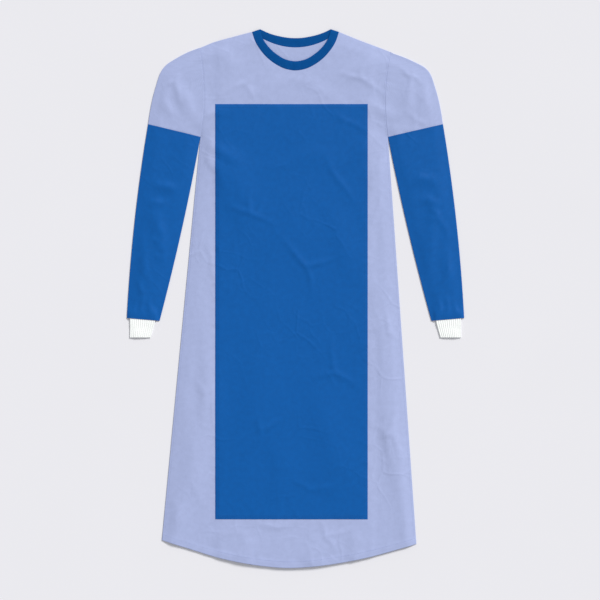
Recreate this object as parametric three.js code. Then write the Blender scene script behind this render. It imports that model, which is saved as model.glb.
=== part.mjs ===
// A reinforced surgical gown laid flat on its back, front side up.
//
// Millimetres, +Z up. +Y runs from the hem to the neck, and +X is the wearer's left. The gown rests
// on the plane z = 0 with its origin under the middle of its outline.
//
// Every piece of cloth is one solid, a wall between two grids of points. Panels are flat walls laid on
// each other. Sleeves and cuffs are flattened tubes. Sewn pieces stop one seam gap short of each other.

import * as THREE from 'three';

// Cloth
const wall = 1.0; // thickness of one layer of cloth
const seamGap = 0.3; // space between pieces that are sewn or lie together
const bindingWall = 1.6; // the folded binding is thicker than one layer
const foldSteps = 4; // facets round each flattened edge of a sleeve or cuff
const layer = wall + seamGap; // how far one layer lifts the next

// The body's outline
const neckPointY = 635; // the top of the neck at the shoulders
const lowestHemY = -635;
const underarm = { half: 221, y: 381 };
const hemHalf = 300;
const hemDrift = -15; // the skirt lies a little to the wearer's right
const sideSeamRows = 4; // rows of points from the hem corner to the underarm
const hemBend = 1.7; // exponent of the hem's curve
const hemRise = { left: 56, right: 65 }; // hem corner above the lowest point
const shoulderLift = { left: -6, right: 6 }; // one shoulder lies a little higher than the other

// Half of the neck, a row for each section of the binding. The cut edges belong to the body panels,
// and the finished edges are the rim of the neck opening.
const neckSections = [
  { cutX: 0, frontCutY: 539, backCutY: 593, edgeX: 0, frontEdgeY: 559, backEdgeY: 614 },
  { cutX: 24, frontCutY: 543, backCutY: 595, edgeX: 17, frontEdgeY: 561.5, backEdgeY: 615 },
  { cutX: 45, frontCutY: 553, backCutY: 600, edgeX: 33, frontEdgeY: 568, backEdgeY: 617.5 },
  { cutX: 64, frontCutY: 567, backCutY: 607, edgeX: 52, frontEdgeY: 581.5, backEdgeY: 622 },
  { cutX: 78, frontCutY: 582, backCutY: 614, edgeX: 66, frontEdgeY: 596, backEdgeY: 627 },
  { cutX: 88, frontCutY: 596, backCutY: 620, edgeX: 75, frontEdgeY: 609, backEdgeY: 631 },
  { cutX: 95, frontCutY: 610, backCutY: 625, edgeX: 80, frontEdgeY: 621, backEdgeY: 633.5 },
  { cutX: 101, frontCutY: 629, backCutY: 629, edgeX: 83, frontEdgeY: neckPointY, backEdgeY: neckPointY },
];

// The shoulder seam from the neck to the shoulder point, which is the first section of the sleeve.
const shoulderLine = [
  { x: 101, y: 629 },
  { x: 150, y: 612.5 },
  { x: 200, y: 596.5 },
  { x: 225, y: 586 },
];

// The upper sleeve, a section for each row: the armhole seam, and the folded edge across from it.
const sleeveHead = [
  { armholeX: 225, armholeY: 586, foldX: 230, foldY: 584 },
  { armholeX: 221, armholeY: 563, foldX: 257, foldY: 574 },
  { armholeX: 218, armholeY: 540, foldX: 286, foldY: 559.5 },
  { armholeX: 215.5, armholeY: 516, foldX: 306, foldY: 547 },
  { armholeX: 214, armholeY: 492, foldX: 319, foldY: 530 },
  { armholeX: 213.5, armholeY: 466, foldX: 328, foldY: 504 },
  { armholeX: 214.5, armholeY: 438, foldX: 337, foldY: 472 },
  { armholeX: 217, armholeY: 409, foldX: 343.5, foldY: 440 },
  { armholeX: underarm.half, armholeY: underarm.y, foldX: 348, foldY: 411 },
];

// The lower sleeve runs from the end of the upper sleeve to the wrist.
const wrist = { foldX: 398, foldY: -46, seamX: 320.5, seamY: -52.5 };
const sleeveBow = { fold: 6.5, seam: -4.5 }; // how far its edges bow away from the body
// How far along it each section is, and the space inside, which opens to take the cuff.
const lowerSleeveSections = [
  { along: 0, inside: seamGap },
  { along: 0.2, inside: seamGap },
  { along: 0.4, inside: seamGap },
  { along: 0.6, inside: seamGap },
  { along: 0.85, inside: seamGap },
  { along: 0.95, inside: 2 * layer + seamGap },
  { along: 1, inside: 2 * layer + seamGap },
];

// The knitted cuff, a section for each row, from the end inside the sleeve to the open end.
const cuffSections = [
  { y: -42, seamX: 331, foldX: 390, low: layer },
  { y: -57, seamX: 332, foldX: 390, low: layer },
  { y: -75, seamX: 337, foldX: 390, low: 0 },
  { y: -92, seamX: 342, foldX: 390.5, low: 0 },
];

// The blue panel on the front
const panel = { left: -189, right: 170, bottom: -520, top: 458 };

// The two halves of the back overlap. Each one's free edge lies past the middle of the back.
const freeEdge = { neckX: 95, hemX: 120 };

// Hidden fastenings of the back, each sewn to a free edge
const neckTab = { top: 607, bottom: 585, width: 45 };
const waistTie = { top: 120, bottom: -330, width: 28 };

// Where panels step up over what lies under them
const backStep = { from: 150, to: 170 };
const frontStep = { from: 175, to: 195 };
const shoulderColumn = 125; // one more column of points between the neck and the first step

const colours = {
  lavender: 0xa9b5dc,
  barrierBlue: 0x1a5da8,
  bindingBlue: 0x0a4b90,
  knitWhite: 0xf8fbfb,
};

// ---- Small helpers ----

const lerp = THREE.MathUtils.lerp;

function cloth(colour, roughness) {
  return new THREE.MeshStandardMaterial({ color: colour, roughness, metalness: 0 });
}

const looks = {
  lavender: cloth(colours.lavender, 0.8),
  barrier: cloth(colours.barrierBlue, 0.6),
  binding: cloth(colours.bindingBlue, 0.7),
  knit: cloth(colours.knitWhite, 0.95),
};

// The height of a broken line through the rows of a table, read at x.
function readLine(rows, x) {
  const next = Math.max(1, rows.findIndex((row) => row.x >= x));
  const [a, b] = [rows[next - 1], rows[next]];
  return lerp(a.y, b.y, (x - a.x) / (b.x - a.x));
}

// 1 where the step is up, 0 past its foot, and a straight ramp between.
function stepDown(distance, step) {
  return 1 - THREE.MathUtils.clamp((distance - step.from) / (step.to - step.from), 0, 1);
}

// ---- The solids ----

// One closed piece of cloth between two grids of points, [column][row]. When it wraps, the last column
// is joined to the first, which makes a tube that is open at both ends.
function clothGeometry(outer, inner, wraps = false) {
  const columns = outer.length;
  const rows = outer[0].length;
  const points = [...outer.flat(), ...inner.flat()];
  const onOuter = (column, row) => (column % columns) * rows + row;
  const onInner = (column, row) => outer.length * rows + onOuter(column, row);
  const triangles = [];
  const quad = (a, b, c, d) => triangles.push(a, b, c, a, c, d);

  const strips = wraps ? columns : columns - 1;
  for (let column = 0; column < strips; column++) {
    const next = column + 1;
    for (let row = 0; row < rows - 1; row++) {
      quad(onOuter(column, row), onOuter(next, row), onOuter(next, row + 1), onOuter(column, row + 1));
      quad(onInner(column, row), onInner(column, row + 1), onInner(next, row + 1), onInner(next, row));
    }
    const top = rows - 1;
    quad(onOuter(column, 0), onInner(column, 0), onInner(next, 0), onOuter(next, 0));
    quad(onOuter(column, top), onOuter(next, top), onInner(next, top), onInner(column, top));
  }
  if (!wraps) {
    const last = columns - 1;
    for (let row = 0; row < rows - 1; row++) {
      quad(onOuter(0, row), onOuter(0, row + 1), onInner(0, row + 1), onInner(0, row));
      quad(onOuter(last, row), onInner(last, row), onInner(last, row + 1), onOuter(last, row + 1));
    }
  }

  const geometry = new THREE.BufferGeometry().setFromPoints(points);
  geometry.setIndex(facesOutward(points, triangles) ? triangles : triangles.toReversed());
  geometry.computeVertexNormals();
  return geometry;
}

// A closed mesh whose faces point outward has a positive volume.
function facesOutward(points, triangles) {
  let volume = 0;
  for (let i = 0; i < triangles.length; i += 3) {
    const [a, b, c] = triangles.slice(i, i + 3).map((index) => points[index]);
    volume += a.dot(b.clone().cross(c));
  }
  return volume > 0;
}

// A panel laid flat: its plan is a grid of {x, y}, and its underside lies at lowAt(x).
function panelGeometry(plan, lowAt, thickness = wall) {
  const raised = (lift) =>
    plan.map((column) => column.map(({ x, y }) => new THREE.Vector3(x, y, lowAt(x) + lift)));
  return clothGeometry(raised(thickness), raised(0));
}

// One section of a flattened sleeve or cuff, from the seam side to the folded side, as pairs of points
// on the outside and the inside of the cloth. A tube goes on round the seam side, and a sleeve head
// stops there, open towards the armhole.
function flatSection(seam, fold, low, inside, isTube) {
  const across = new THREE.Vector2(fold.x - seam.x, fold.y - seam.y);
  const width = across.length();
  across.normalize();
  const outerRadius = wall + inside / 2;
  const middle = low + outerRadius;
  const start = isTube ? outerRadius : 0;
  const end = width - outerRadius;
  const pairs = [];
  const addPair = (along, angle) => {
    const at = (radius) => {
      const out = along + radius * Math.cos(angle);
      const x = seam.x + across.x * out;
      return new THREE.Vector3(x, seam.y + across.y * out, middle + radius * Math.sin(angle));
    };
    pairs.push({ outer: at(outerRadius), inner: at(inside / 2) });
  };
  const down = -Math.PI / 2;
  addPair(start, down);
  for (let step = 0; step <= foldSteps; step++) addPair(end, down + (Math.PI * step) / foldSteps);
  addPair(start, -down);
  if (isTube) {
    for (let step = 1; step < foldSteps; step++) addPair(start, -down + (Math.PI * step) / foldSteps);
  }
  return pairs;
}

// The sections, in order, become the rows of the two grids.
function sleeveGeometry(sections, isTube) {
  const gridOf = (face) => sections[0].map((_, column) => sections.map((pairs) => pairs[column][face]));
  return clothGeometry(gridOf('outer'), gridOf('inner'), isTube);
}

// ---- The body's plan ----

const sideOf = (x) => (x < 0 ? 'right' : 'left');
const signOf = { left: 1, right: -1 };

// The middle of the body drifts sideways from the neck to the hem.
function middleAt(y) {
  return (hemDrift * (neckPointY - y)) / (neckPointY - lowestHemY);
}

function hemY(x) {
  const across = Math.abs(x - hemDrift) / hemHalf;
  return lowestHemY + hemRise[sideOf(x - hemDrift)] * across ** hemBend;
}

// The lift of one shoulder, nothing at the neck and at the end of the upper sleeve.
function liftAt(x) {
  const start = shoulderLine[0].x;
  const end = sleeveHead.at(-1).foldX;
  return shoulderLift[sideOf(x)] * Math.sin((Math.PI * (Math.abs(x) - start)) / (end - start));
}

function shoulderY(x) {
  return readLine(shoulderLine, Math.abs(x)) + liftAt(x);
}

// The armhole seam, from the shoulder point to the underarm.
function armholePoint(section, side) {
  const { armholeX, armholeY } = section;
  const fade = (armholeY - underarm.y) / (neckPointY - underarm.y);
  return {
    x: signOf[side] * armholeX + middleAt(armholeY),
    y: armholeY + liftAt(signOf[side] * armholeX) * fade,
  };
}

// The body's side edge from the hem corner up the side seam and the armhole.
function sideEdge(side) {
  const corner = signOf[side] * hemHalf + middleAt(lowestHemY);
  const under = armholePoint(sleeveHead.at(-1), side);
  const seam = Array.from({ length: sideSeamRows }, (_, row) => ({
    x: lerp(corner, under.x, row / sideSeamRows),
    y: lerp(hemY(corner), under.y, row / sideSeamRows),
  }));
  const armhole = sleeveHead.toReversed().map((section) => armholePoint(section, side));
  return [...seam, ...armhole];
}

// How far up each row of points is, from 0 at the hem to 1 at the top edge.
const rowLevels = sideEdge('left').map(({ y }, _, edge) => {
  return (y - edge[0].y) / (edge.at(-1).y - edge[0].y);
});

// One column of points from the hem to the top edge, a straight line that may lean.
function columnOf(hemX, topX, topY) {
  return rowLevels.map((level) => ({
    x: lerp(hemX, topX, level),
    y: lerp(hemY(hemX), topY, level),
  }));
}

// Between two columns, a part of the way across.
function columnBetween(a, b, part) {
  return a.map(({ x, y }, row) => ({ x: lerp(x, b[row].x, part), y: lerp(y, b[row].y, part) }));
}

// The columns from the neck's edge out to one side, over the steps and the shoulder.
function shoulderColumns(side) {
  const distances = [shoulderColumn, backStep.from, backStep.to, frontStep.from, frontStep.to];
  const columns = distances.map((distance) => {
    const x = signOf[side] * distance;
    return columnOf(x, x, shoulderY(x));
  });
  const edge = sideEdge(side);
  return [...columns, columnBetween(columns.at(-1), edge, 0.5), edge];
}

// The whole neck, from the wearer's right shoulder to the left one.
const rightNeck = neckSections.slice(1).toReversed().map((section) => ({ ...section, sign: -1 }));
const leftNeck = neckSections.map((section) => ({ ...section, sign: 1 }));
const wholeNeck = [...rightNeck, ...leftNeck];

function frontPlan() {
  const neck = wholeNeck.map(({ sign, cutX, frontCutY }) => {
    return columnOf(sign * cutX, sign * cutX, frontCutY);
  });
  return [...shoulderColumns('right').toReversed(), ...neck, ...shoulderColumns('left')];
}

// The sections of the back neck that one half of the back reaches, from its free edge to its shoulder.
function backNeck(side) {
  const reached = wholeNeck.filter(({ sign, cutX }) => sign * signOf[side] * cutX >= -freeEdge.neckX);
  return side === 'left' ? reached : reached.toReversed();
}

// Near the free edge the columns lean with it, and at the middle of the back they are straight.
function leaningHemX(x, side) {
  const past = Math.max(0, -signOf[side] * x) / freeEdge.neckX;
  return lerp(x, -signOf[side] * freeEdge.hemX, past * past);
}

function backPlan(side) {
  const neck = backNeck(side).map(({ sign, cutX, backCutY }) => {
    const topX = sign * cutX;
    return columnOf(leaningHemX(topX, side), topX, backCutY);
  });
  return [...neck, ...shoulderColumns(side)];
}

// ---- How high each layer lies ----

const backRightLow = () => 0;
const backLeftLow = (x) => layer * stepDown(x, backStep);
const frontLow = (x) => layer + layer * stepDown(Math.abs(x), frontStep);
const frontPanelLow = (x) => frontLow(x) + layer; // it follows the front's upper face

// ---- The pieces ----

const gown = new THREE.Group();

function addPiece(name, geometry, look) {
  const mesh = new THREE.Mesh(geometry, look);
  mesh.name = name;
  gown.add(mesh);
}

// The blue panel has a column wherever the front under it bends.
function frontPanelPlan() {
  const bends = [-frontStep.from, -shoulderColumn, 0, shoulderColumn];
  return [panel.left, ...bends, panel.right].map((x) => [
    { x, y: panel.bottom },
    { x, y: 0 },
    { x, y: panel.top },
  ]);
}

// The binding lies along the cut edge, one seam gap away, and reaches to the rim of the neck.
function bindingPlan(sections, face) {
  return sections.map((section) => {
    const cut = new THREE.Vector2(section.sign * section.cutX, section[`${face}CutY`]);
    const rim = new THREE.Vector2(section.sign * section.edgeX, section[`${face}EdgeY`]);
    const start = cut.clone().add(rim.clone().sub(cut).setLength(seamGap));
    return [start, rim];
  });
}

// A strip that lies beside the free edge of one half of the back.
function stripPlan(side, { top, bottom, width }) {
  const across = -signOf[side];
  const [neckEnd] = backNeck(side);
  const hemEndY = hemY(across * freeEdge.hemX);
  const freeX = (y) => {
    const level = (y - hemEndY) / (neckEnd.backCutY - hemEndY);
    return across * (lerp(freeEdge.hemX, freeEdge.neckX, level) + seamGap);
  };
  return [0, width].map((out) => [bottom, top].map((y) => ({ x: freeX(y) + across * out, y })));
}

function upperSleeve(side) {
  const sections = sleeveHead.map((section) => {
    const seam = armholePoint(section, side);
    seam.x += signOf[side] * seamGap;
    const foldX = signOf[side] * section.foldX;
    return flatSection(seam, { x: foldX, y: section.foldY + liftAt(foldX) }, 0, seamGap, false);
  });
  return sleeveGeometry(sections, false);
}

function lowerSleeve(side) {
  const start = sleeveHead.at(-1);
  const under = armholePoint(start, side);
  const sections = lowerSleeveSections.map(({ along, inside }) => {
    const bow = 4 * along * (1 - along);
    const seam = {
      x: lerp(under.x + signOf[side] * 2 * seamGap, signOf[side] * wrist.seamX, along),
      y: lerp(under.y - seamGap, wrist.seamY, along),
    };
    const fold = {
      x: signOf[side] * lerp(start.foldX, wrist.foldX, along),
      y: lerp(start.foldY - seamGap, wrist.foldY, along),
    };
    seam.x += signOf[side] * sleeveBow.seam * bow;
    fold.x += signOf[side] * sleeveBow.fold * bow;
    return flatSection(seam, fold, 0, inside, true);
  });
  return sleeveGeometry(sections, true);
}

function cuff(side) {
  const sections = cuffSections.map(({ y, seamX, foldX, low }) => {
    const seam = { x: signOf[side] * seamX, y };
    return flatSection(seam, { x: signOf[side] * foldX, y }, low, seamGap, true);
  });
  return sleeveGeometry(sections, true);
}

addPiece('back_right', panelGeometry(backPlan('right'), backRightLow), looks.lavender);
addPiece('back_left', panelGeometry(backPlan('left'), backLeftLow), looks.lavender);
addPiece('front_body', panelGeometry(frontPlan(), frontLow), looks.lavender);
addPiece('front_panel', panelGeometry(frontPanelPlan(), frontPanelLow), looks.barrier);

for (const side of ['left', 'right']) {
  addPiece(`sleeve_upper_${side}`, upperSleeve(side), looks.lavender);
  addPiece(`sleeve_lower_${side}`, lowerSleeve(side), looks.barrier);
  addPiece(`cuff_${side}`, cuff(side), looks.knit);
}

const frontBinding = panelGeometry(bindingPlan(wholeNeck, 'front'), frontLow, bindingWall);
const backRightBinding = panelGeometry(bindingPlan(backNeck('right'), 'back'), backRightLow);
const backLeftBinding = panelGeometry(bindingPlan(backNeck('left'), 'back'), backLeftLow);
addPiece('neck_binding_front', frontBinding, looks.binding);
addPiece('neck_binding_back_right', backRightBinding, looks.binding);
addPiece('neck_binding_back_left', backLeftBinding, looks.binding);

addPiece('neck_tab', panelGeometry(stripPlan('right', neckTab), backRightLow), looks.knit);
addPiece('tie_outer', panelGeometry(stripPlan('right', waistTie), backRightLow), looks.lavender);
addPiece('tie_inner', panelGeometry(stripPlan('left', waistTie), backLeftLow), looks.lavender);

export default gown;
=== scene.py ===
# %% [markdown]
# # A surgical gown laid flat
#
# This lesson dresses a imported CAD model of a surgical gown. The CAD holds the cut of the cloth: where
# each piece starts and stops, and which layer lies on which. Blender adds what the eye looks for: thin
# cloth that is never quite flat, seams that pull, stitches, knitted ribs, and the faint pattern that
# bonds a nonwoven fabric together.
#
# We start by loading the frame. Its nodes are only a guide here, because every one of them is soft, so
# each is replaced by a finer piece that lies in the same place.

import math

import bpy
import numpy as np
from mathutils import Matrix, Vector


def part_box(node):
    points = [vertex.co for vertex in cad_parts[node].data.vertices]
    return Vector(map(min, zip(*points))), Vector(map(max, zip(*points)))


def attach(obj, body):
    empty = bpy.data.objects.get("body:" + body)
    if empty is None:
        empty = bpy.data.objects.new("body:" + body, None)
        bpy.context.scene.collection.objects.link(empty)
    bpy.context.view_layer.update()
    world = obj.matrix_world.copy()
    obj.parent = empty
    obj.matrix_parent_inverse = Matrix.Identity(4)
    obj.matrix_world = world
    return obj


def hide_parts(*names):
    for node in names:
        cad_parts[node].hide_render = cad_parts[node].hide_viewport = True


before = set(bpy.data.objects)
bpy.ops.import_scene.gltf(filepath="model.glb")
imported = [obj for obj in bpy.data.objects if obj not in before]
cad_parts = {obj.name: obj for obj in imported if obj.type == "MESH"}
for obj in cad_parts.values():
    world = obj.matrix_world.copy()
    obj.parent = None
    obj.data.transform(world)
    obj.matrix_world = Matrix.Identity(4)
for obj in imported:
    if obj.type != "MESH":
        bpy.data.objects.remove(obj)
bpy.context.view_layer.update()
MM = 0.001

# %% [markdown]
# ## The cut of the cloth
#
# A pattern maker draws one gown as a few outlines, so we do the same. Each table has one row for each
# point that the outline needs, in millimetres, and a smooth curve goes through the rows. We could trace
# the CAD's own edges instead, but its edges are short straight lines, and a curve through the same rows
# gives a hem and a neck without corners.
#
# The overall sizes are read from the frame, so that the cloth always fits the solids.

# %% Sizes from the frame
def span(node):
    """The lowest and highest corner of a CAD node, in metres."""
    low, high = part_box(node)
    return np.array(low), np.array(high)


BODY_LOW, BODY_HIGH = span("front_body")
PANEL_LOW, PANEL_HIGH = span("front_panel")
WALL = span("back_right")[1][2]  # the thickness of one CAD layer
LAYER = span("tie_inner")[0][2]  # one layer and the gap above it
GAP = LAYER - WALL
NECK_TOP = span("neck_binding_front")[1][1]
HEM_LOW = -NECK_TOP
HEM_DRIFT = (BODY_LOW[0] + BODY_HIGH[0]) / 2  # the middle of the skirt at the hem
HEM_HALF = (BODY_HIGH[0] - BODY_LOW[0]) / 2
print(f"body {BODY_HIGH[1] - BODY_LOW[1]:.3f} m long, {2 * HEM_HALF:.3f} m wide at the hem")

# %% Tables of the outline, in millimetres
LEFT, RIGHT = 1, -1  # the sides, and the sign of x on each
NECK_ROWS = [
    dict(cut_x=0, front_cut=539, back_cut=593, rim_x=0, front_rim=559, back_rim=614),
    dict(cut_x=24, front_cut=543, back_cut=595, rim_x=17, front_rim=561.5, back_rim=615),
    dict(cut_x=45, front_cut=553, back_cut=600, rim_x=33, front_rim=568, back_rim=617.5),
    dict(cut_x=64, front_cut=567, back_cut=607, rim_x=52, front_rim=581.5, back_rim=622),
    dict(cut_x=78, front_cut=582, back_cut=614, rim_x=66, front_rim=596, back_rim=627),
    dict(cut_x=88, front_cut=596, back_cut=620, rim_x=75, front_rim=609, back_rim=631),
    dict(cut_x=95, front_cut=610, back_cut=625, rim_x=80, front_rim=621, back_rim=633.5),
    dict(cut_x=101, front_cut=629, back_cut=629, rim_x=83, front_rim=635, back_rim=635),
]
SHOULDER_ROWS = [dict(x=101, y=629), dict(x=150, y=612.5), dict(x=200, y=596.5), dict(x=225, y=586)]
SLEEVE_HEAD_ROWS = [
    dict(armhole_x=225, armhole_y=586, fold_x=230, fold_y=584),
    dict(armhole_x=221, armhole_y=563, fold_x=257, fold_y=574),
    dict(armhole_x=218, armhole_y=540, fold_x=286, fold_y=559.5),
    dict(armhole_x=215.5, armhole_y=516, fold_x=306, fold_y=547),
    dict(armhole_x=214, armhole_y=492, fold_x=319, fold_y=530),
    dict(armhole_x=213.5, armhole_y=466, fold_x=328, fold_y=504),
    dict(armhole_x=214.5, armhole_y=438, fold_x=337, fold_y=472),
    dict(armhole_x=217, armhole_y=409, fold_x=343.5, fold_y=440),
    dict(armhole_x=221, armhole_y=381, fold_x=348, fold_y=411),
]
WRIST = dict(fold_x=398, fold_y=-46, seam_x=320.5, seam_y=-52.5)
SLEEVE_BOW = dict(fold=6.5, seam=-4.5)  # how far the edges of a sleeve bow outwards
HEM_RISE = {LEFT: 56, RIGHT: 65}  # how much higher the hem is at the sides than in the middle
HEM_BEND = 1.7  # a power: at 1 the hem would be two straight lines, and at 2 a parabola
SHOULDER_LIFT = {LEFT: -6, RIGHT: 6}  # how far the middle of a shoulder lies above its rows
FREE_EDGE = dict(neck=95, hem=120)  # how far past the middle each half of the back ends
BACK_STEP = (150, 170)  # where the left back steps down beside the overlap
FRONT_STEP = (175, 195)  # where the front steps down beside it
SEAM = 0.05 * MM  # the space that is left between two pieces that are sewn edge to edge
SHOULDER_ROW = len(NECK_ROWS) - 1  # the row of the neck table that is at the shoulder
FREE_ROW = SHOULDER_ROW - 1  # the row where a free edge of the back starts
HEAD_END = len(SLEEVE_HEAD_ROWS) - 1  # the row of the sleeve head that is at the underarm
print(len(NECK_ROWS), "neck rows,", len(SLEEVE_HEAD_ROWS), "sleeve head rows")


# %% [markdown]
# A Catmull-Rom curve passes through every row and leaves each one in the direction of its neighbours.
# It is the simplest smooth curve to steer by hand: move one row, and only the curve beside it moves.

# %% A smooth curve through the rows of a table
def through(rows, columns, at):
    """Reads the named columns of a table along a smooth curve. at counts rows, and may be a fraction."""
    table = np.array([[row[name] for name in columns] for row in rows], float) * MM
    slopes = np.gradient(table, axis=0)
    at = np.asarray(at, float)
    start = np.clip(at.astype(int), 0, len(rows) - 2)
    t = (at - start)[:, None]
    a, b, leave, arrive = table[start], table[start + 1], slopes[start], slopes[start + 1]
    return (
        a * (2 * t**3 - 3 * t**2 + 1)
        + leave * (t**3 - 2 * t**2 + t)
        + b * (3 * t**2 - 2 * t**3)
        + arrive * (t**3 - t**2)
    )


def smooth_step(value):
    """0 below 0, 1 above 1, and an easy slope between."""
    value = np.clip(value, 0, 1)
    return value * value * (3 - 2 * value)


def mix(a, b, part):
    return a + (b - a) * part


# %% The outline as functions
def middle_at(y):
    """The middle of the body drifts sideways from the neck to the hem."""
    return HEM_DRIFT * (NECK_TOP - y) / (NECK_TOP - HEM_LOW)


def hem_y(x):
    across = np.abs(x - HEM_DRIFT) / HEM_HALF
    rise = np.where(x < HEM_DRIFT, HEM_RISE[RIGHT], HEM_RISE[LEFT]) * MM
    return HEM_LOW + rise * across**HEM_BEND


def shoulder_lift(x):
    start, end = SHOULDER_ROWS[0]["x"] * MM, SLEEVE_HEAD_ROWS[-1]["fold_x"] * MM
    rise = np.where(x < 0, SHOULDER_LIFT[RIGHT], SHOULDER_LIFT[LEFT]) * MM
    return rise * np.sin(np.pi * (np.abs(x) - start) / (end - start))


def shoulder_y(x):
    table = np.array([[row["x"], row["y"]] for row in SHOULDER_ROWS]) * MM
    return np.interp(np.abs(x), table[:, 0], table[:, 1]) + shoulder_lift(x)


def armhole(side, at):
    """Points of the armhole seam. at is 0 at the shoulder point and HEAD_END at the underarm."""
    x, y = through(SLEEVE_HEAD_ROWS, ("armhole_x", "armhole_y"), at).T
    underarm = SLEEVE_HEAD_ROWS[-1]["armhole_y"] * MM
    fade = (y - underarm) / (NECK_TOP - underarm)
    return np.stack([side * x + middle_at(y), y + shoulder_lift(side * x) * fade], axis=-1)


def head_fold(side, at):
    """Points of the folded edge of the upper sleeve, beside the same rows."""
    x, y = through(SLEEVE_HEAD_ROWS, ("fold_x", "fold_y"), at).T
    return np.stack([side * x, y + shoulder_lift(side * x)], axis=-1)


def side_seam(side, part):
    """Points of the side seam, from 0 at the hem to 1 at the underarm."""
    corner_x = side * HEM_HALF + HEM_DRIFT
    corner = np.array([corner_x, hem_y(np.array(corner_x))])
    underarm = armhole(side, [HEAD_END])[0]
    return mix(corner, underarm, np.asarray(part, float)[:, None])


def sleeve_edges(side, along):
    """The seam edge and the folded edge of the lower sleeve, from 0 at its top to 1 at the wrist."""
    along = np.asarray(along, float)[:, None]
    bow = 4 * along * (1 - along)
    underarm = armhole(side, [HEAD_END])[0] + [side * 2 * SEAM, -SEAM]
    fold_top = head_fold(side, [HEAD_END])[0] + [0, -SEAM]
    wrist_seam = np.array([side * WRIST["seam_x"], WRIST["seam_y"]]) * MM
    wrist_fold = np.array([side * WRIST["fold_x"], WRIST["fold_y"]]) * MM
    out = np.array([side, 0]) * MM
    seam = mix(underarm, wrist_seam, along) + out * SLEEVE_BOW["seam"] * bow
    fold = mix(fold_top, wrist_fold, along) + out * SLEEVE_BOW["fold"] * bow
    return seam, fold


def neck_line(face, edge, at):
    """Points of the cut edge or the rim. at is a row of the table, and below 0 on the right."""
    at = np.asarray(at, float)
    x_column = "cut_x" if edge == "cut" else "rim_x"
    # The middle row is mirrored into the table, so that the curve stays level as it crosses.
    mirrored = [{**row, "cut_x": -row["cut_x"], "rim_x": -row["rim_x"]} for row in NECK_ROWS[:0:-1]]
    return through(mirrored + NECK_ROWS, (x_column, f"{face}_{edge}"), at + len(NECK_ROWS) - 1)


print("armhole from", armhole(LEFT, [0])[0].round(3), "to", armhole(LEFT, [HEAD_END])[0].round(3))

# %% [markdown]
# ## How high the cloth lies
#
# Two layers of a real gown touch where they are sewn, and stand a few millimetres apart elsewhere,
# because air stays in the cloth. One height field for the whole gown gives that: it is zero along every
# closed edge, and the front rises away from it. Because every piece reads the same field, neighbours
# meet at their seams and no layer can pass through another.
#
# The field needs the distance to the nearest closed edge. We measure it to short straight lines, which
# numpy does for all the points of a piece at once.


# %% Distance to the closed edges and to the seams
def distance_to(lines, points):
    """How far each point lies from the nearest of some lines, each a row of points."""
    starts = np.concatenate([line[:-1] for line in lines])
    ends = np.concatenate([line[1:] for line in lines])
    best = np.full(len(points), np.inf)
    for start, end in zip(starts, ends):
        way = end - start
        part = np.clip(((points - start) @ way) / max(way @ way, 1e-12), 0, 1)
        best = np.minimum(best, np.linalg.norm(points - start - part[:, None] * way, axis=1))
    return best


def shoulder_line(side, count=12):
    x = side * np.linspace(SHOULDER_ROWS[0]["x"], SHOULDER_ROWS[-1]["x"], count) * MM
    neck_point = np.array([[side * NECK_ROWS[-1]["rim_x"] * MM, NECK_TOP]])
    return np.concatenate([neck_point, np.stack([x, shoulder_y(x)], axis=-1)])


body_edges, sleeve_edge_lines, sewn_lines = [], [], []
for side in (LEFT, RIGHT):
    head = np.linspace(0, HEAD_END, 25)
    sleeve_seam, sleeve_fold = sleeve_edges(side, np.linspace(0, 1, 13))
    wrist_end = np.stack([sleeve_seam[-1], sleeve_fold[-1]])
    body_edges += [side_seam(side, [0, 1]), shoulder_line(side)]
    sleeve_edge_lines += [head_fold(side, head), sleeve_seam, sleeve_fold, wrist_end]
    sleeve_join = np.stack([armhole(side, [HEAD_END])[0], head_fold(side, [HEAD_END])[0]])
    sewn_lines += [armhole(side, head), sleeve_join, side_seam(side, [0, 1])]
closed_edges = body_edges + sleeve_edge_lines
HEM_STITCH = 15 * MM
hem_x = np.linspace(-HEM_HALF, HEM_HALF, 40) + HEM_DRIFT
sewn_lines.append(np.stack([hem_x, hem_y(hem_x) + HEM_STITCH], axis=-1))
sewn_lines.append(neck_line("front", "cut", np.linspace(-SHOULDER_ROW, SHOULDER_ROW, 45)))
panel_x, panel_y = [np.array([PANEL_LOW[axis], PANEL_HIGH[axis]]) for axis in (0, 1)]
panel_edge = np.stack([panel_x[[0, 1, 1, 0, 0]], panel_y[[0, 0, 1, 1, 0]]], axis=-1)
sewn_lines.append(panel_edge)
print(len(closed_edges), "closed edges,", len(sewn_lines), "sewn lines")
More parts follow.
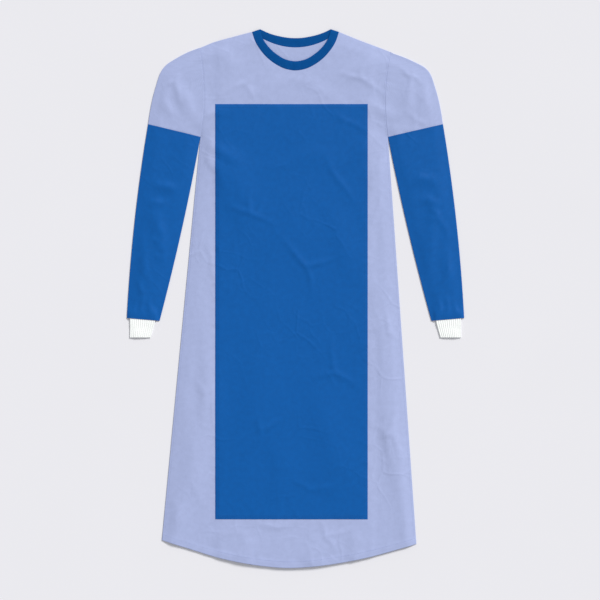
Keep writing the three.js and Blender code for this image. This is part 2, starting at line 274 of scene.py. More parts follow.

# %% [markdown]
# ## Folds listed one by one
#
# A gown that has been smoothed out on a table keeps a few soft folds. They run from the places that
# hold the cloth, so each row of the table says where one lies, which way it heads, and how long, wide
# and high it is. No two are alike, which is what makes them look like cloth. A cloth simulation could
# make folds too, but it would not leave the outline where the pattern puts it.

# %% The table of folds, in millimetres and degrees
FRONT_FOLDS = [
    dict(x=-178, y=350, heading=148, length=190, width=15, rise=2.6),
    dict(x=-196, y=318, heading=122, length=150, width=13, rise=2.0),
    dict(x=-205, y=430, heading=-158, length=110, width=12, rise=2.2),
    dict(x=172, y=362, heading=36, length=200, width=16, rise=2.4),
    dict(x=199, y=300, heading=64, length=170, width=14, rise=2.1),
    dict(x=201, y=447, heading=-24, length=120, width=12, rise=1.9),
    dict(x=-165, y=565, heading=-20, length=150, width=22, rise=1.6),
    dict(x=158, y=548, heading=24, length=170, width=24, rise=1.5),
    dict(x=-262, y=470, heading=-62, length=150, width=16, rise=2.6),
    dict(x=-302, y=455, heading=-74, length=110, width=12, rise=2.0),
    dict(x=266, y=462, heading=-116, length=140, width=15, rise=2.4),
    dict(x=306, y=468, heading=-104, length=120, width=13, rise=1.8),
    dict(x=-304, y=262, heading=-14, length=84, width=12, rise=2.8),
    dict(x=-322, y=226, heading=12, length=70, width=10, rise=2.0),
    dict(x=-318, y=150, heading=-82, length=170, width=15, rise=2.4),
    dict(x=-356, y=88, heading=-84, length=150, width=11, rise=1.6),
    dict(x=300, y=282, heading=18, length=86, width=13, rise=2.6),
    dict(x=316, y=232, heading=-10, length=74, width=10, rise=2.1),
    dict(x=324, y=140, heading=-98, length=190, width=15, rise=2.3),
    dict(x=362, y=66, heading=-95, length=130, width=12, rise=1.7),
    dict(x=-342, y=-22, heading=-86, length=70, width=6, rise=1.6),
    dict(x=-362, y=-18, heading=-90, length=60, width=5, rise=1.3),
    dict(x=-380, y=-24, heading=-92, length=54, width=5, rise=1.5),
    dict(x=340, y=-26, heading=-96, length=60, width=6, rise=1.5),
    dict(x=359, y=-20, heading=-92, length=70, width=5, rise=1.4),
    dict(x=379, y=-22, heading=-88, length=56, width=5, rise=1.2),
    dict(x=-252, y=-420, heading=83, length=460, width=26, rise=3.4),
    dict(x=-214, y=-180, heading=86, length=420, width=20, rise=2.2),
    dict(x=-286, y=-520, heading=86, length=190, width=15, rise=2.2),
    dict(x=232, y=-380, heading=96, length=520, width=27, rise=3.2),
    dict(x=198, y=-60, heading=93, length=380, width=18, rise=2.0),
    dict(x=262, y=-540, heading=95, length=160, width=14, rise=2.0),
    dict(x=-120, y=-590, heading=84, length=120, width=20, rise=2.2),
    dict(x=40, y=-604, heading=92, length=110, width=24, rise=2.0),
    dict(x=136, y=-584, heading=98, length=120, width=18, rise=2.1),
    dict(x=-96, y=-230, heading=78, length=520, width=42, rise=1.9),
    dict(x=78, y=-330, heading=99, length=460, width=38, rise=2.0),
    dict(x=-20, y=150, heading=66, length=380, width=36, rise=1.5),
    dict(x=110, y=120, heading=112, length=330, width=30, rise=1.6),
    dict(x=-128, y=260, heading=104, length=260, width=26, rise=1.5),
    dict(x=-58, y=500, heading=28, length=150, width=18, rise=1.3),
    dict(x=64, y=492, heading=-34, length=160, width=17, rise=1.4),
    dict(x=4, y=515, heading=3, length=120, width=12, rise=0.9),
]
BACK_FOLDS = [
    dict(x=-210, y=-300, heading=80, length=420, width=26, rise=1.8),
    dict(x=-150, y=250, heading=112, length=300, width=24, rise=1.5),
    dict(x=-40, y=-420, heading=96, length=300, width=30, rise=1.6),
    dict(x=10, y=330, heading=14, length=240, width=22, rise=1.2),
    dict(x=205, y=-220, heading=98, length=430, width=24, rise=1.7),
    dict(x=190, y=300, heading=70, length=220, width=20, rise=1.4),
    dict(x=-330, y=190, heading=-80, length=150, width=14, rise=1.3),
    dict(x=330, y=220, heading=-98, length=160, width=15, rise=1.4),
]


def fold_height(folds, points):
    """The height of all the folds over each point: long, rounded, a little crooked ridges."""
    height = np.zeros(len(points))
    for fold in folds:
        heading = math.radians(fold["heading"])
        ahead = np.array([math.cos(heading), math.sin(heading)])
        away = points - np.array([fold["x"], fold["y"]]) * MM
        along = away @ ahead / (fold["length"] / 2 * MM)
        across = (away @ [-ahead[1], ahead[0]]) / (fold["width"] * MM)
        # The crest bends to one side, and one flank is steeper than the other.
        across = across + 0.9 * along**2 * np.sign(fold["x"] or 1) + 0.25 * np.sin(5 * along + fold["y"])
        across = np.where(across > 0, across * 1.25, across * 0.8)
        fade = smooth_step(1 - np.abs(along))
        height += fold["rise"] * MM * fade * np.exp(-(across**2))
    return height


print(len(FRONT_FOLDS), "folds on the front,", len(BACK_FOLDS), "under the back")

# %% [markdown]
# Cloth that has been packed and handled also has creases: narrow ridges that start at a point where the
# cloth was pinched and die out as they leave it. Two or three start from the same point, so a row of the
# table is one point, with a heading and a length for each crease. Where two meet, the higher one wins.

# %% The table of creases, in millimetres and degrees
CREASE_ROWS = [
    dict(x=148, y=522, headings=(-32, 64, 171), lengths=(104, 58, 66), rise=1.6),
    dict(x=-118, y=508, headings=(204, -63, 38), lengths=(88, 72, 50), rise=1.3),
    dict(x=28, y=74, headings=(132, 18, -78), lengths=(142, 118, 84), rise=1.7),
    dict(x=-112, y=204, headings=(163, -24, 81), lengths=(72, 96, 64), rise=1.5),
    dict(x=96, y=284, headings=(-52, 116), lengths=(110, 78), rise=1.2),
    dict(x=92, y=-172, headings=(-34, 98, 201), lengths=(96, 104, 74), rise=1.5),
    dict(x=-82, y=-318, headings=(-128, 36, 101), lengths=(92, 124, 58), rise=1.6),
    dict(x=34, y=-452, headings=(143, 12), lengths=(70, 92), rise=1.1),
    dict(x=226, y=-318, headings=(84, -66, 192), lengths=(94, 118, 46), rise=1.7),
    dict(x=222, y=-82, headings=(-22, 102), lengths=(48, 112), rise=1.4),
    dict(x=-214, y=-226, headings=(-98, 32, 118), lengths=(116, 46, 62), rise=1.5),
    dict(x=-236, y=-438, headings=(44, -72), lengths=(58, 94), rise=1.3),
    dict(x=72, y=-562, headings=(108, -48, 16), lengths=(56, 52, 98), rise=1.5),
    dict(x=-148, y=-548, headings=(66, 206), lengths=(50, 74), rise=1.2),
    dict(x=192, y=210, headings=(-104, 72), lengths=(92, 64), rise=1.2),
    dict(x=-198, y=96, headings=(-84, 108), lengths=(108, 58), rise=1.3),
    dict(x=-286, y=508, headings=(-68, 42, 196), lengths=(86, 46, 38), rise=1.5),
    dict(x=272, y=524, headings=(-98, 152, -28), lengths=(92, 42, 48), rise=1.4),
    dict(x=-338, y=142, headings=(62, -112, -34), lengths=(60, 84, 36), rise=1.6),
    dict(x=336, y=196, headings=(-62, 134, 214), lengths=(76, 52, 40), rise=1.5),
    dict(x=352, y=44, headings=(-128, 74), lengths=(58, 62), rise=1.3),
    dict(x=-362, y=18, headings=(-74, 118), lengths=(48, 56), rise=1.3),
]
CREASE_WIDTH = 6 * MM


def crease_height(creases, points):
    """The height of the creases over each point."""
    height = np.zeros(len(points))
    for row in creases:
        away = points - np.array([row["x"], row["y"]]) * MM
        for heading, length in zip(row["headings"], row["lengths"]):
            ahead = np.array([math.cos(math.radians(heading)), math.sin(math.radians(heading))])
            along = away @ ahead / (length * MM)
            # The sine of a whole number of degrees, taken as radians, bends each crease its own way.
            bend = 0.8 * along**2 * math.sin(heading) + 0.25 * np.sin(7 * along + length)
            across = away @ [-ahead[1], ahead[0]] / CREASE_WIDTH + bend
            fade = smooth_step(1 + along * length * MM / CREASE_WIDTH) * smooth_step(1 - along)
            height = np.maximum(height, row["rise"] * MM * fade * np.exp(-(across**2)))
    return height


print(sum(len(row["lengths"]) for row in CREASE_ROWS), "creases")

# %% [markdown]
# Between the folds the cloth is still uneven. Value noise is a grid of random heights with smooth slopes
# between them. We use it at several sizes: slow waves over the whole gown, small dents from handling, and
# puckers that fade away from each sewn line. The seeds are fixed, so each run gives the same gown.


# %% Unevenness from seeded noise
def uneven(points, size, seed):
    """Smooth noise from -1 to 1, with bumps about size across."""
    lattice = np.random.default_rng(seed).uniform(-1, 1, (64, 64))
    place = points / size + 1000.5
    cell = np.floor(place).astype(int)
    part = smooth_step(place - cell)
    x, y = cell[:, 0] % 64, cell[:, 1] % 64
    x2, y2 = (x + 1) % 64, (y + 1) % 64
    low = mix(lattice[x, y], lattice[x2, y], part[:, 0])
    high = mix(lattice[x, y2], lattice[x2, y2], part[:, 0])
    return mix(low, high, part[:, 1])


LOFT = 2.0 * MM  # how far the front stands off where nothing holds it
CLOSING = 30 * MM  # over this distance it comes down to a closed edge
BACK_CREASES_DOWN = 90 * MM


def back_lift(points):
    """How far the lowest layer is off the surface: nothing, but for a few soft hollows."""
    waves = np.maximum(uneven(points, 190 * MM, 3), 0) * 0.8 * MM
    near = smooth_step(distance_to(closed_edges, points) / (12 * MM))
    # The creases of every third row show on the back too, mirrored and further down.
    creases = crease_height(CREASE_ROWS[1::3], points * [-1, 1] + [0, BACK_CREASES_DOWN])
    return (fold_height(BACK_FOLDS, points) + waves + creases) * near


def front_lift(points):
    """How far the upper layer rises above the lower one."""
    free = smooth_step(distance_to(closed_edges, points) / CLOSING)
    waves = 0.9 * MM * uneven(points, 150 * MM, 11) + 0.35 * MM * uneven(points, 46 * MM, 12)
    dents = 0.14 * MM * uneven(points, 17 * MM, 13)
    from_seam = distance_to(sewn_lines, points)
    puckers = 0.5 * MM * uneven(points, 13 * MM, 14) * np.exp(-from_seam / (10 * MM))
    folds = fold_height(FRONT_FOLDS, points) + crease_height(CREASE_ROWS, points)
    return np.maximum(LOFT + waves + dents + puckers + folds, 0) * free


def step_down(distance, step):
    start, end = (edge * MM for edge in step)
    return 1 - smooth_step((distance - start) / (end - start))


def back_right_low(points):
    return back_lift(points)


def back_left_low(points):
    return back_lift(points) + LAYER * step_down(points[:, 0], BACK_STEP)


PRESSED = 0.55 * MM  # a sewn edge is pressed down on what it is sewn to
PRESS_WIDTH = 7 * MM


def pressed(lines, points):
    return PRESSED * (1 - smooth_step(distance_to(lines, points) / PRESS_WIDTH))


def front_low(points):
    layers = LAYER * (1 + step_down(np.abs(points[:, 0]), FRONT_STEP))
    return back_lift(points) + layers + front_lift(points) - pressed(body_edges, points)


def panel_low(points):
    return front_low(points) + LAYER - pressed([panel_edge], points)


probe = np.array([[0, 0.0], [0.2, -0.4], [-0.3, 0.2]])
print("front stands at", (front_low(probe) / MM).round(1), "mm")

# %% [markdown]
# ## From a plan to a shell
#
# Every piece starts as a plan, a grid of points on the table. A mesh could be cut from a plane with
# booleans, but a grid that follows the piece's own edges keeps its quads square to the seams, so folds
# and hems bend along them. The grid is finest beside an edge, where the cloth is rounded.


# %% Plans
FINE_EDGE = np.array([0, 0.4, 1.0, 2.2, 4.0]) * MM
CELL = 4.5 * MM  # the size of a square of the grid away from the edges
# About how many squares of that size fit between two shoulder points, a free edge and a shoulder point, a
# shoulder point and the edge of the overlap, and the two ends of a binding
NECK_COLUMNS, BACK_COLUMNS, SHOULDER_COLUMNS, BINDING_COLUMNS = 63, 50, 20, 76
NECK_STEP, HEAD_STEP = 12 * MM, 25 * MM  # about how far apart the rows of the neck and sleeve head are


def graded(length, fine_start=True, fine_end=True, cell=CELL):
    """Places along a length in metres: even steps, and finer ones beside a rounded edge."""
    start = FINE_EDGE if fine_start else FINE_EDGE[:1]
    end = length - (FINE_EDGE[::-1] if fine_end else FINE_EDGE[:1])
    count = max(2, round((end[0] - start[-1]) / cell) + 1)
    return np.concatenate([start[:-1], np.linspace(start[-1], end[0], count), end[1:]])


seam_length = np.linalg.norm(np.diff(side_seam(LEFT, [0, 1]), axis=0))
armhole_length = np.linalg.norm(armhole(LEFT, [0])[0] - armhole(LEFT, [HEAD_END])[0])
SEAM_PARTS = graded(seam_length, fine_end=False) / seam_length
ARMHOLE_PARTS = graded(armhole_length, fine_start=False)[1:] / armhole_length


def side_edge(side):
    """The body's edge from the hem corner, up the side seam and the armhole, to the shoulder point."""
    return np.concatenate([side_seam(side, SEAM_PARTS), armhole(side, HEAD_END * (1 - ARMHOLE_PARTS))])


edge_y = side_edge(LEFT)[:, 1]
LEVELS = (edge_y - edge_y[0]) / (edge_y[-1] - edge_y[0])  # each row's height, from hem to top edge


def body_column(hem_x, top_x, top_y):
    """One column of a body panel, a line from the hem to the top edge that may lean."""
    return np.stack([mix(hem_x, top_x, LEVELS), mix(hem_y(np.array(hem_x)), top_y, LEVELS)], axis=-1)


def shoulder_columns(side):
    """The columns from the neck out to the side edge."""
    places = side * np.linspace(SHOULDER_ROWS[0]["x"], FRONT_STEP[1], SHOULDER_COLUMNS)[1:] * MM
    straight = [body_column(x, x, shoulder_y(x)) for x in places]
    strip_width = HEM_HALF / 5
    parts = graded(strip_width, fine_start=False)[1:] / strip_width
    return straight + [mix(straight[-1], side_edge(side), part) for part in parts]


def front_plan():
    neck = neck_line("front", "cut", np.linspace(-SHOULDER_ROW, SHOULDER_ROW, NECK_COLUMNS))
    middle = [body_column(x, x, y) for x, y in neck]
    return np.array(shoulder_columns(RIGHT)[::-1] + middle + shoulder_columns(LEFT))


def back_plan(side):
    """One half of the back, from its free edge, past the middle, to its own side."""
    free_x = FREE_EDGE["neck"] * MM
    fine = FINE_EDGE / NECK_STEP
    places = [fine[:-1], np.linspace(fine[-1], FREE_ROW + SHOULDER_ROW, BACK_COLUMNS)]
    at = np.concatenate(places) - FREE_ROW
    neck = neck_line("back", "cut", at) * [side, 1]
    columns = []
    for x, y in neck:
        past = max(0, -side * x) / free_x
        columns.append(body_column(mix(x, -side * FREE_EDGE["hem"] * MM, past**2), x, y))
    return np.array(columns + shoulder_columns(side))


def free_edge_x(side, y):
    """Where a half of the back ends, at a height on the gown."""
    hem_x = -side * FREE_EDGE["hem"] * MM
    neck_end = neck_line("back", "cut", [FREE_ROW])[0] * [-side, 1]
    level = (y - hem_y(np.array(hem_x))) / (neck_end[1] - hem_y(np.array(hem_x)))
    return mix(hem_x, neck_end[0], level)


def strip_plan(side, node):
    """A tab or tie beside a free edge, from its own CAD node's height and width."""
    low, high = span(node)
    y = low[1] + graded(high[1] - low[1])
    edge = free_edge_x(side, y)
    width = high[0] - low[0] - abs(edge[-1] - edge[0])
    out = -side * (GAP + graded(width, cell=3 * MM))
    return np.array([np.stack([edge + step, y], axis=-1) for step in out])


def panel_plan():
    x = PANEL_LOW[0] + graded(PANEL_HIGH[0] - PANEL_LOW[0])
    y = PANEL_LOW[1] + graded(PANEL_HIGH[1] - PANEL_LOW[1])
    return np.stack(np.meshgrid(x, y, indexing="ij"), axis=-1)


BINDING_GRIP = 1.5 * MM  # how far the binding reaches over the cut edge that it holds


def binding_plan(face, start, end):
    """A strip of the neck binding, across from just past the cut edge to the rim, between two rows."""
    fine = FINE_EDGE / NECK_STEP
    at = np.concatenate([start + fine, np.linspace(start, end, BINDING_COLUMNS)[3:-3], end - fine[::-1]])
    cut, rim = neck_line(face, "cut", at), neck_line(face, "rim", at)
    width = np.linalg.norm(rim - cut, axis=1).mean()
    parts = (graded(width + BINDING_GRIP, cell=1.6 * MM) - BINDING_GRIP) / width
    return np.array([mix(cut, rim, part) for part in parts])


print("front plan:", front_plan().shape[:2], "points; panel plan:", panel_plan().shape[:2])

# %% [markdown]
# The cloth is a shell: the plan goes up to the top face and down to the under face, and a narrow rim
# joins the two. A Solidify modifier would do the same, but then the hem could not be thicker than the
# rest, and each edge could not be rounded over as it reaches the rim.


# %% Shells
CLOTH = 0.7 * MM  # the fabric, in the middle of the CAD's wall
EDGE_RADIUS = 0.7 * MM
HEM_WIDTH = 18 * MM
HEM_FOLD = 0.6 * MM  # what the turned-up cloth adds
RIM_SHARE = 0.35  # how thick the rim at a cut edge is, as a share of the whole


def lengths_along(grid, axis):
    """How far each point of a grid is from its first row or column, and from its last one."""
    steps = np.linalg.norm(np.diff(grid, axis=axis), axis=-1)
    so_far = np.cumsum(steps, axis=axis)
    start = np.zeros_like(np.take(so_far, [0], axis=axis))
    so_far = np.concatenate([start, so_far], axis=axis)
    return so_far, np.take(so_far, [-1], axis=axis) - so_far


def edge_distance(grid, wraps=False):
    """How far each point of a grid lies from the piece's nearest edge."""
    nearest = np.minimum(*lengths_along(grid, 1))
    return nearest if wraps else np.minimum(nearest, np.minimum(*lengths_along(grid, 0)))


def rounded(edge, radius=EDGE_RADIUS):
    """The share of the full thickness that is left near an edge."""
    return np.maximum(np.sqrt(1 - (1 - np.clip(edge / radius, 0, 1)) ** 2), RIM_SHARE)


def make_shell(name, outer, inner, on_cloth, wraps=False):
    """A closed mesh between two grids of points, with a UV map from their places on the flat cloth."""
    columns, rows = outer.shape[:2]
    strips = columns if wraps else columns - 1
    faces, places = [], []

    def add_quads(*corners):
        # Each corner is (column, row, layer), and the layer is 0 outside and 1 inside.
        index = [layer * columns * rows + (c % columns) * rows + r for c, r, layer in corners]
        faces.append(np.stack([np.ravel(i) for i in index], axis=-1))
        places.append(np.stack([on_cloth[c, r].reshape(-1, 2) for c, r, _ in corners], axis=1))

    c, r = np.meshgrid(np.arange(strips), np.arange(rows - 1), indexing="ij")
    add_quads((c, r, 0), (c + 1, r, 0), (c + 1, r + 1, 0), (c, r + 1, 0))
    add_quads((c, r, 1), (c, r + 1, 1), (c + 1, r + 1, 1), (c + 1, r, 1))
    c, first, last = np.arange(strips), np.zeros(strips, int), np.full(strips, rows - 1)
    add_quads((c, first, 0), (c, first, 1), (c + 1, first, 1), (c + 1, first, 0))
    add_quads((c, last, 0), (c + 1, last, 0), (c + 1, last, 1), (c, last, 1))
    if not wraps:
        r, first, last = np.arange(rows - 1), np.zeros(rows - 1, int), np.full(rows - 1, columns - 1)
        add_quads((first, r, 0), (first, r + 1, 0), (first, r + 1, 1), (first, r, 1))
        add_quads((last, r, 0), (last, r, 1), (last, r + 1, 1), (last, r + 1, 0))

    points = np.concatenate([outer.reshape(-1, 3), inner.reshape(-1, 3)])
    faces, places = np.concatenate(faces), np.concatenate(places)
    a, b, d = (points[faces[:, k]] for k in (0, 1, 2))
    if np.einsum("ij,ij->", a, np.cross(b, d)) < 0:  # the faces point inwards, so each is turned over
        faces, places = faces[:, ::-1], places[:, ::-1]

    mesh = bpy.data.meshes.new(name)
    mesh.from_pydata(points, [], faces.tolist())
    mesh.uv_layers.new(name="Cloth").data.foreach_set("uv", places.ravel())
    mesh.shade_smooth()
    piece = bpy.data.objects.new(name, mesh)
    bpy.context.scene.collection.objects.link(piece)
    return piece


def flat_shell(name, plan, low_at, wall=WALL, radius=EDGE_RADIUS, hem=False):
    """A panel that lies on what is under it. wall is the CAD's wall, and the cloth is inside it."""
    edge = edge_distance(plan)
    low = low_at(plan.reshape(-1, 2)).reshape(edge.shape)
    half = (wall - (WALL - CLOTH)) / 2 * rounded(edge, radius)
    middle = (low + wall / 2)[..., None]
    turned_up = 0.0
    if hem:  # the bottom edge is folded over once, so that it is a little thicker
        from_hem = lengths_along(plan, 1)[0]
        turned_up = HEM_FOLD * smooth_step((HEM_WIDTH - from_hem) / (2 * MM)) * rounded(edge, radius)
    outer = np.concatenate([plan, middle + (half + turned_up)[..., None]], axis=-1)
    inner = np.concatenate([plan, middle - half[..., None]], axis=-1)
    return make_shell(name, outer, inner, plan)


print(f"cloth {CLOTH / MM:.1f} mm thick in a wall of {WALL / MM:.1f} mm")

# %% [markdown]
# A sleeve that lies flat is a tube with two long straight sides and two small round ends. We write one
# section as a path: along the bottom, round the fold, back along the top and, on a full tube, round the
# seam. The upper sleeve stops at the armhole, so its path stays open on that side.


# %% Flattened tubes
SLEEVE_POINTS, CUFF_POINTS = 26, 130  # across one wall of a section; the cuff's ribs need more


def section_path(is_tube, flat_points, turn_points=8):
    """The path of a section: where each point sits between the two sides, and its angle round the end."""
    down, up = -math.pi / 2, math.pi / 2
    flat = np.linspace(0, 1, flat_points)
    if not is_tube:
        flat = np.concatenate([[0, 0.008, 0.02, 0.04], np.linspace(0.08, 1, flat_points)])
    turn = np.linspace(down, up, turn_points + 1)[1:-1]
    between = np.concatenate([flat, np.ones(len(turn)), flat[::-1]])
    angle = np.concatenate([np.full(len(flat), down), turn, np.full(len(flat), up)])
    if is_tube:
        between = np.concatenate([between, np.zeros(len(turn))])
        angle = np.concatenate([angle, turn + math.pi])
    return between[:, None], angle[:, None]


def tube_shell(name, seam, fold, low, inside, is_tube, flat_points, wall=WALL, lift=front_lift):
    """A flattened sleeve or cuff between its seam edge and its folded edge, a section for each row."""
    between, angle = section_path(is_tube, flat_points)
    across = fold - seam
    width = np.linalg.norm(across, axis=1)
    across = across / width[:, None]
    outside = wall + inside / 2
    start = outside if is_tube else 0 * outside
    along = mix(start, width - outside, between)
    radius = outside - wall / 2
    height = low + outside

    def at(radius):
        out = along + radius * np.cos(angle)
        plan = seam[None] + across[None] * out[..., None]
        return np.concatenate([plan, (height + radius * np.sin(angle))[..., None]], axis=-1)

    middle = at(radius)
    edge = edge_distance(middle, wraps=is_tube)
    half = (wall - (WALL - CLOTH)) / 2 * rounded(edge)
    outer, inner = at(radius + half), at(radius - half)
    flat = middle[..., :2].reshape(-1, 2)
    upper = (1 + np.sin(angle)) / 2
    raised = back_lift(flat).reshape(edge.shape) + upper * lift(flat).reshape(edge.shape)
    outer[..., 2] += raised
    inner[..., 2] += raised
    closed = np.concatenate([middle, middle[:1]]) if is_tube else middle
    on_cloth = np.stack([lengths_along(closed, axis)[0] for axis in (0, 1)], axis=-1)
    return make_shell(name, outer, inner, on_cloth, wraps=is_tube)


def upper_sleeve(side, name):
    fine = FINE_EDGE / HEAD_STEP
    at = np.concatenate([fine, np.linspace(0, HEAD_END, 52)[2:-2], HEAD_END - fine[::-1]])
    seam = armhole(side, at) + [side * SEAM, 0]
    level = np.zeros(len(at))
    return tube_shell(name, seam, head_fold(side, at), level, level + GAP, False, SLEEVE_POINTS)


# %% [markdown]
# The cuff is caught inside the end of the sleeve. The sleeve's upper wall lies over it, so it swells a
# little there and comes down flat on both sides of it.


# %% The lower sleeve, over the end of the cuff
CUFF_ROWS = [
    dict(y=-42, seam_x=331, fold_x=390),
    dict(y=-57, seam_x=332, fold_x=390),
    dict(y=-75, seam_x=337, fold_x=390),
    dict(y=-92, seam_x=342, fold_x=390.5),
]
CUFF_COMES_DOWN = (57, 75)  # how far down, below y = 0, the cuff leaves the sleeve and meets the table
CUFF_BULGE = 2.6 * MM


def cuff_lines(side, rows):
    """The two long edges of a cuff, from some rows of the table."""
    lines = [[[side * row[name], row["y"]] for row in rows] for name in ("seam_x", "fold_x")]
    return np.array(lines) * MM


def over_cuff(points):
    """How far the sleeve's upper wall is held up by the cuff inside it."""
    (seam_x, top), (fold_x, _) = cuff_lines(LEFT, CUFF_ROWS[:1])[:, 0]
    from_middle = np.abs(np.abs(points[:, 0]) - (seam_x + fold_x) / 2)
    outside = np.maximum(from_middle - (fold_x - seam_x) / 2, 0)
    above = np.maximum(points[:, 1] - top, 0)
    return CUFF_BULGE * (1 - smooth_step(outside / (8 * MM))) * (1 - smooth_step(above / (26 * MM)))


def sleeve_lift(points):
    return front_lift(points) + over_cuff(points)


def lower_sleeve(side, name):
    length = (SLEEVE_HEAD_ROWS[-1]["fold_y"] - WRIST["fold_y"]) * MM
    along = graded(length) / length
    seam, fold = sleeve_edges(side, along)
    level = np.zeros(len(along))
    return tube_shell(name, seam, fold, level, level + GAP, True, SLEEVE_POINTS, lift=sleeve_lift)


print("a sleeve section has", len(section_path(True, SLEEVE_POINTS)[0]), "points")

# %% [markdown]
# ## Make the panels and sleeves
#
# Each piece of cloth is one object with the name of what a sewer would call it. The CAD node with the same
# cut is replaced by it at the end of the lesson.

# %% The panels and sleeves
cloth = {}
plans = dict(
    back_right=back_plan(RIGHT),
    back_left=back_plan(LEFT),
    front_body=front_plan(),
    front_panel=panel_plan(),
    neck_tab=strip_plan(RIGHT, "neck_tab"),
    tie_outer=strip_plan(RIGHT, "tie_outer"),
    tie_inner=strip_plan(LEFT, "tie_inner"),
)
lows = dict(
    back_right=back_right_low,
    back_left=back_left_low,
    front_body=front_low,
    front_panel=panel_low,
    neck_tab=back_right_low,
    tie_outer=back_right_low,
    tie_inner=back_left_low,
)
HEMMED = ("back_right", "back_left", "front_body")
for node, plan in plans.items():
    cloth[node] = flat_shell(node + "_cloth", plan, lows[node], hem=node in HEMMED)
for side, word in ((LEFT, "left"), (RIGHT, "right")):
    cloth["sleeve_upper_" + word] = upper_sleeve(side, f"sleeve_upper_{word}_cloth")
    cloth["sleeve_lower_" + word] = lower_sleeve(side, f"sleeve_lower_{word}_cloth")
for node, piece in cloth.items():
    print(f"{node:20s} {len(piece.data.polygons) * 2:7d} triangles")

# %% [markdown]
# The neck binding is a narrow tape, folded over the cut edges so that no raw edge touches the skin. It is
# thicker than one layer, and its folded rim is round. The same shell makes it, with a larger radius.


# %% The neck binding
FRONT_BINDING_WALL = 1.6 * MM
BACK_BINDING_WALL = 1.25 * WALL
BINDING_CROWN = 6 * MM  # over this distance from its edges the tape thickens
front_tape = binding_plan("front", -SHOULDER_ROW, SHOULDER_ROW)
back_tape = binding_plan("back", -FREE_ROW, SHOULDER_ROW)
for node, plan, low_at, wall in (
    ("neck_binding_front", front_tape, front_low, FRONT_BINDING_WALL),
    ("neck_binding_back_left", back_tape, back_left_low, BACK_BINDING_WALL),
    ("neck_binding_back_right", back_tape * [-1, 1], back_right_low, BACK_BINDING_WALL),
):
    cloth[node] = flat_shell(node + "_tape", plan, low_at, wall, BINDING_CROWN)
print("bindings:", [name for name in cloth if "binding" in name])

# %% [markdown]
# ## Knitted cuffs
#
# A cuff is a short tube of rib knit that grips the glove. Its ribs could be a bump in the material, but
# they show at the open end and along the folds, so they are real shape. The ribs follow a rule, so
# Geometry Nodes make them: each point knows how far round the cuff it is and which way is out, and the
# tree moves it out by a row of half waves. The pitch and depth are inputs that you can change.


# %% Helpers for node trees
def new_tree(name, kind, inputs, outputs):
    """A node tree with named sockets. inputs and outputs are (name, socket type, default)."""
    tree = bpy.data.node_groups.new(name, kind)
    for in_out, sockets in (("INPUT", inputs), ("OUTPUT", outputs)):
        for title, socket_type, default in sockets:
            socket = tree.interface.new_socket(title, in_out=in_out, socket_type=socket_type)
            if default is not None:
                socket.default_value = default
    return tree, tree.nodes.new("NodeGroupInput"), tree.nodes.new("NodeGroupOutput")


def add_node(tree, kind, links=None, **settings):
    """Adds a node. links gives a socket or a value for each of its inputs, by name or number."""
    node = tree.nodes.new(kind)
    for name, value in settings.items():
        setattr(node, name, value)
    for key, value in (links or {}).items():
        if isinstance(value, bpy.types.NodeSocket):
            tree.links.new(value, node.inputs[key])
        else:
            node.inputs[key].default_value = value
    return node


def maths(tree, label, operation, *values):
    """A Math node of a shader or geometry tree, and its one output."""
    links = dict(enumerate(values))
    return add_node(tree, "ShaderNodeMath", links, operation=operation, label=label).outputs[0]


def scaled(tree, vector, scale):
    node = add_node(tree, "ShaderNodeVectorMath", {0: vector, "Scale": scale}, operation="SCALE")
    return node.outputs["Vector"]


def bake_nodes(piece, tree, values):
    """Runs a tree on a piece with some input values, and gives the piece the plain mesh that comes out."""
    modifier = piece.modifiers.new(tree.name, "NODES")
    modifier.node_group = tree
    for item in tree.interface.items_tree:
        if item.in_out == "INPUT" and item.name in values:
            modifier[item.identifier] = values[item.name]
    evaluated = piece.evaluated_get(bpy.context.evaluated_depsgraph_get())
    mesh = bpy.data.meshes.new_from_object(evaluated)
    piece.modifiers.remove(modifier)
    mesh.name = piece.name
    piece.data = mesh
    return piece


print("node helpers ready")


# %% The rib tree
def rib_tree():
    tree, given, made = new_tree(
        "Knitted ribs",
        "GeometryNodeTree",
        [
            ("Cuff", "NodeSocketGeometry", None),
            ("Pitch", "NodeSocketFloat", 0.0036),
            ("Depth", "NodeSocketFloat", 0.0005),
        ],
        [("Cuff", "NodeSocketGeometry", None)],
    )
    around = add_node(tree, "GeometryNodeInputNamedAttribute", {"Name": "around"}, data_type="FLOAT")
    outward = add_node(tree, "GeometryNodeInputNamedAttribute", {"Name": "outward"}, data_type="FLOAT_VECTOR")
    pitch, depth = given.outputs["Pitch"], given.outputs["Depth"]
    turns = maths(tree, "ribs so far", "DIVIDE", around.outputs["Attribute"], pitch)
    wave = maths(tree, "half waves", "SINE", maths(tree, "half turns", "MULTIPLY", turns, math.pi))
    height = maths(tree, "rib", "MULTIPLY", maths(tree, "one side", "ABSOLUTE", wave), depth)
    low_part = maths(tree, "low part", "MULTIPLY", depth, 0.25)
    centred = maths(tree, "centred", "SUBTRACT", height, low_part)
    offset = scaled(tree, outward.outputs["Attribute"], centred)
    moved = add_node(tree, "GeometryNodeSetPosition", {"Geometry": given.outputs["Cuff"], "Offset": offset})
    tree.links.new(moved.outputs["Geometry"], made.inputs["Cuff"])
    return tree


ribs = rib_tree()
print("the rib tree has", len(ribs.nodes), "nodes")

# %% The cuffs
CUFF_WALL = 0.9 * MM
RIB_PITCH = 4.8 * MM
RIB_DEPTH = 0.8 * MM
RIBS_REACH = 0.6 * RIB_DEPTH  # a cuff is raised by this, so that its ribs end on the table
cuff_edges = [line for side in (LEFT, RIGHT) for line in cuff_lines(side, CUFF_ROWS)]


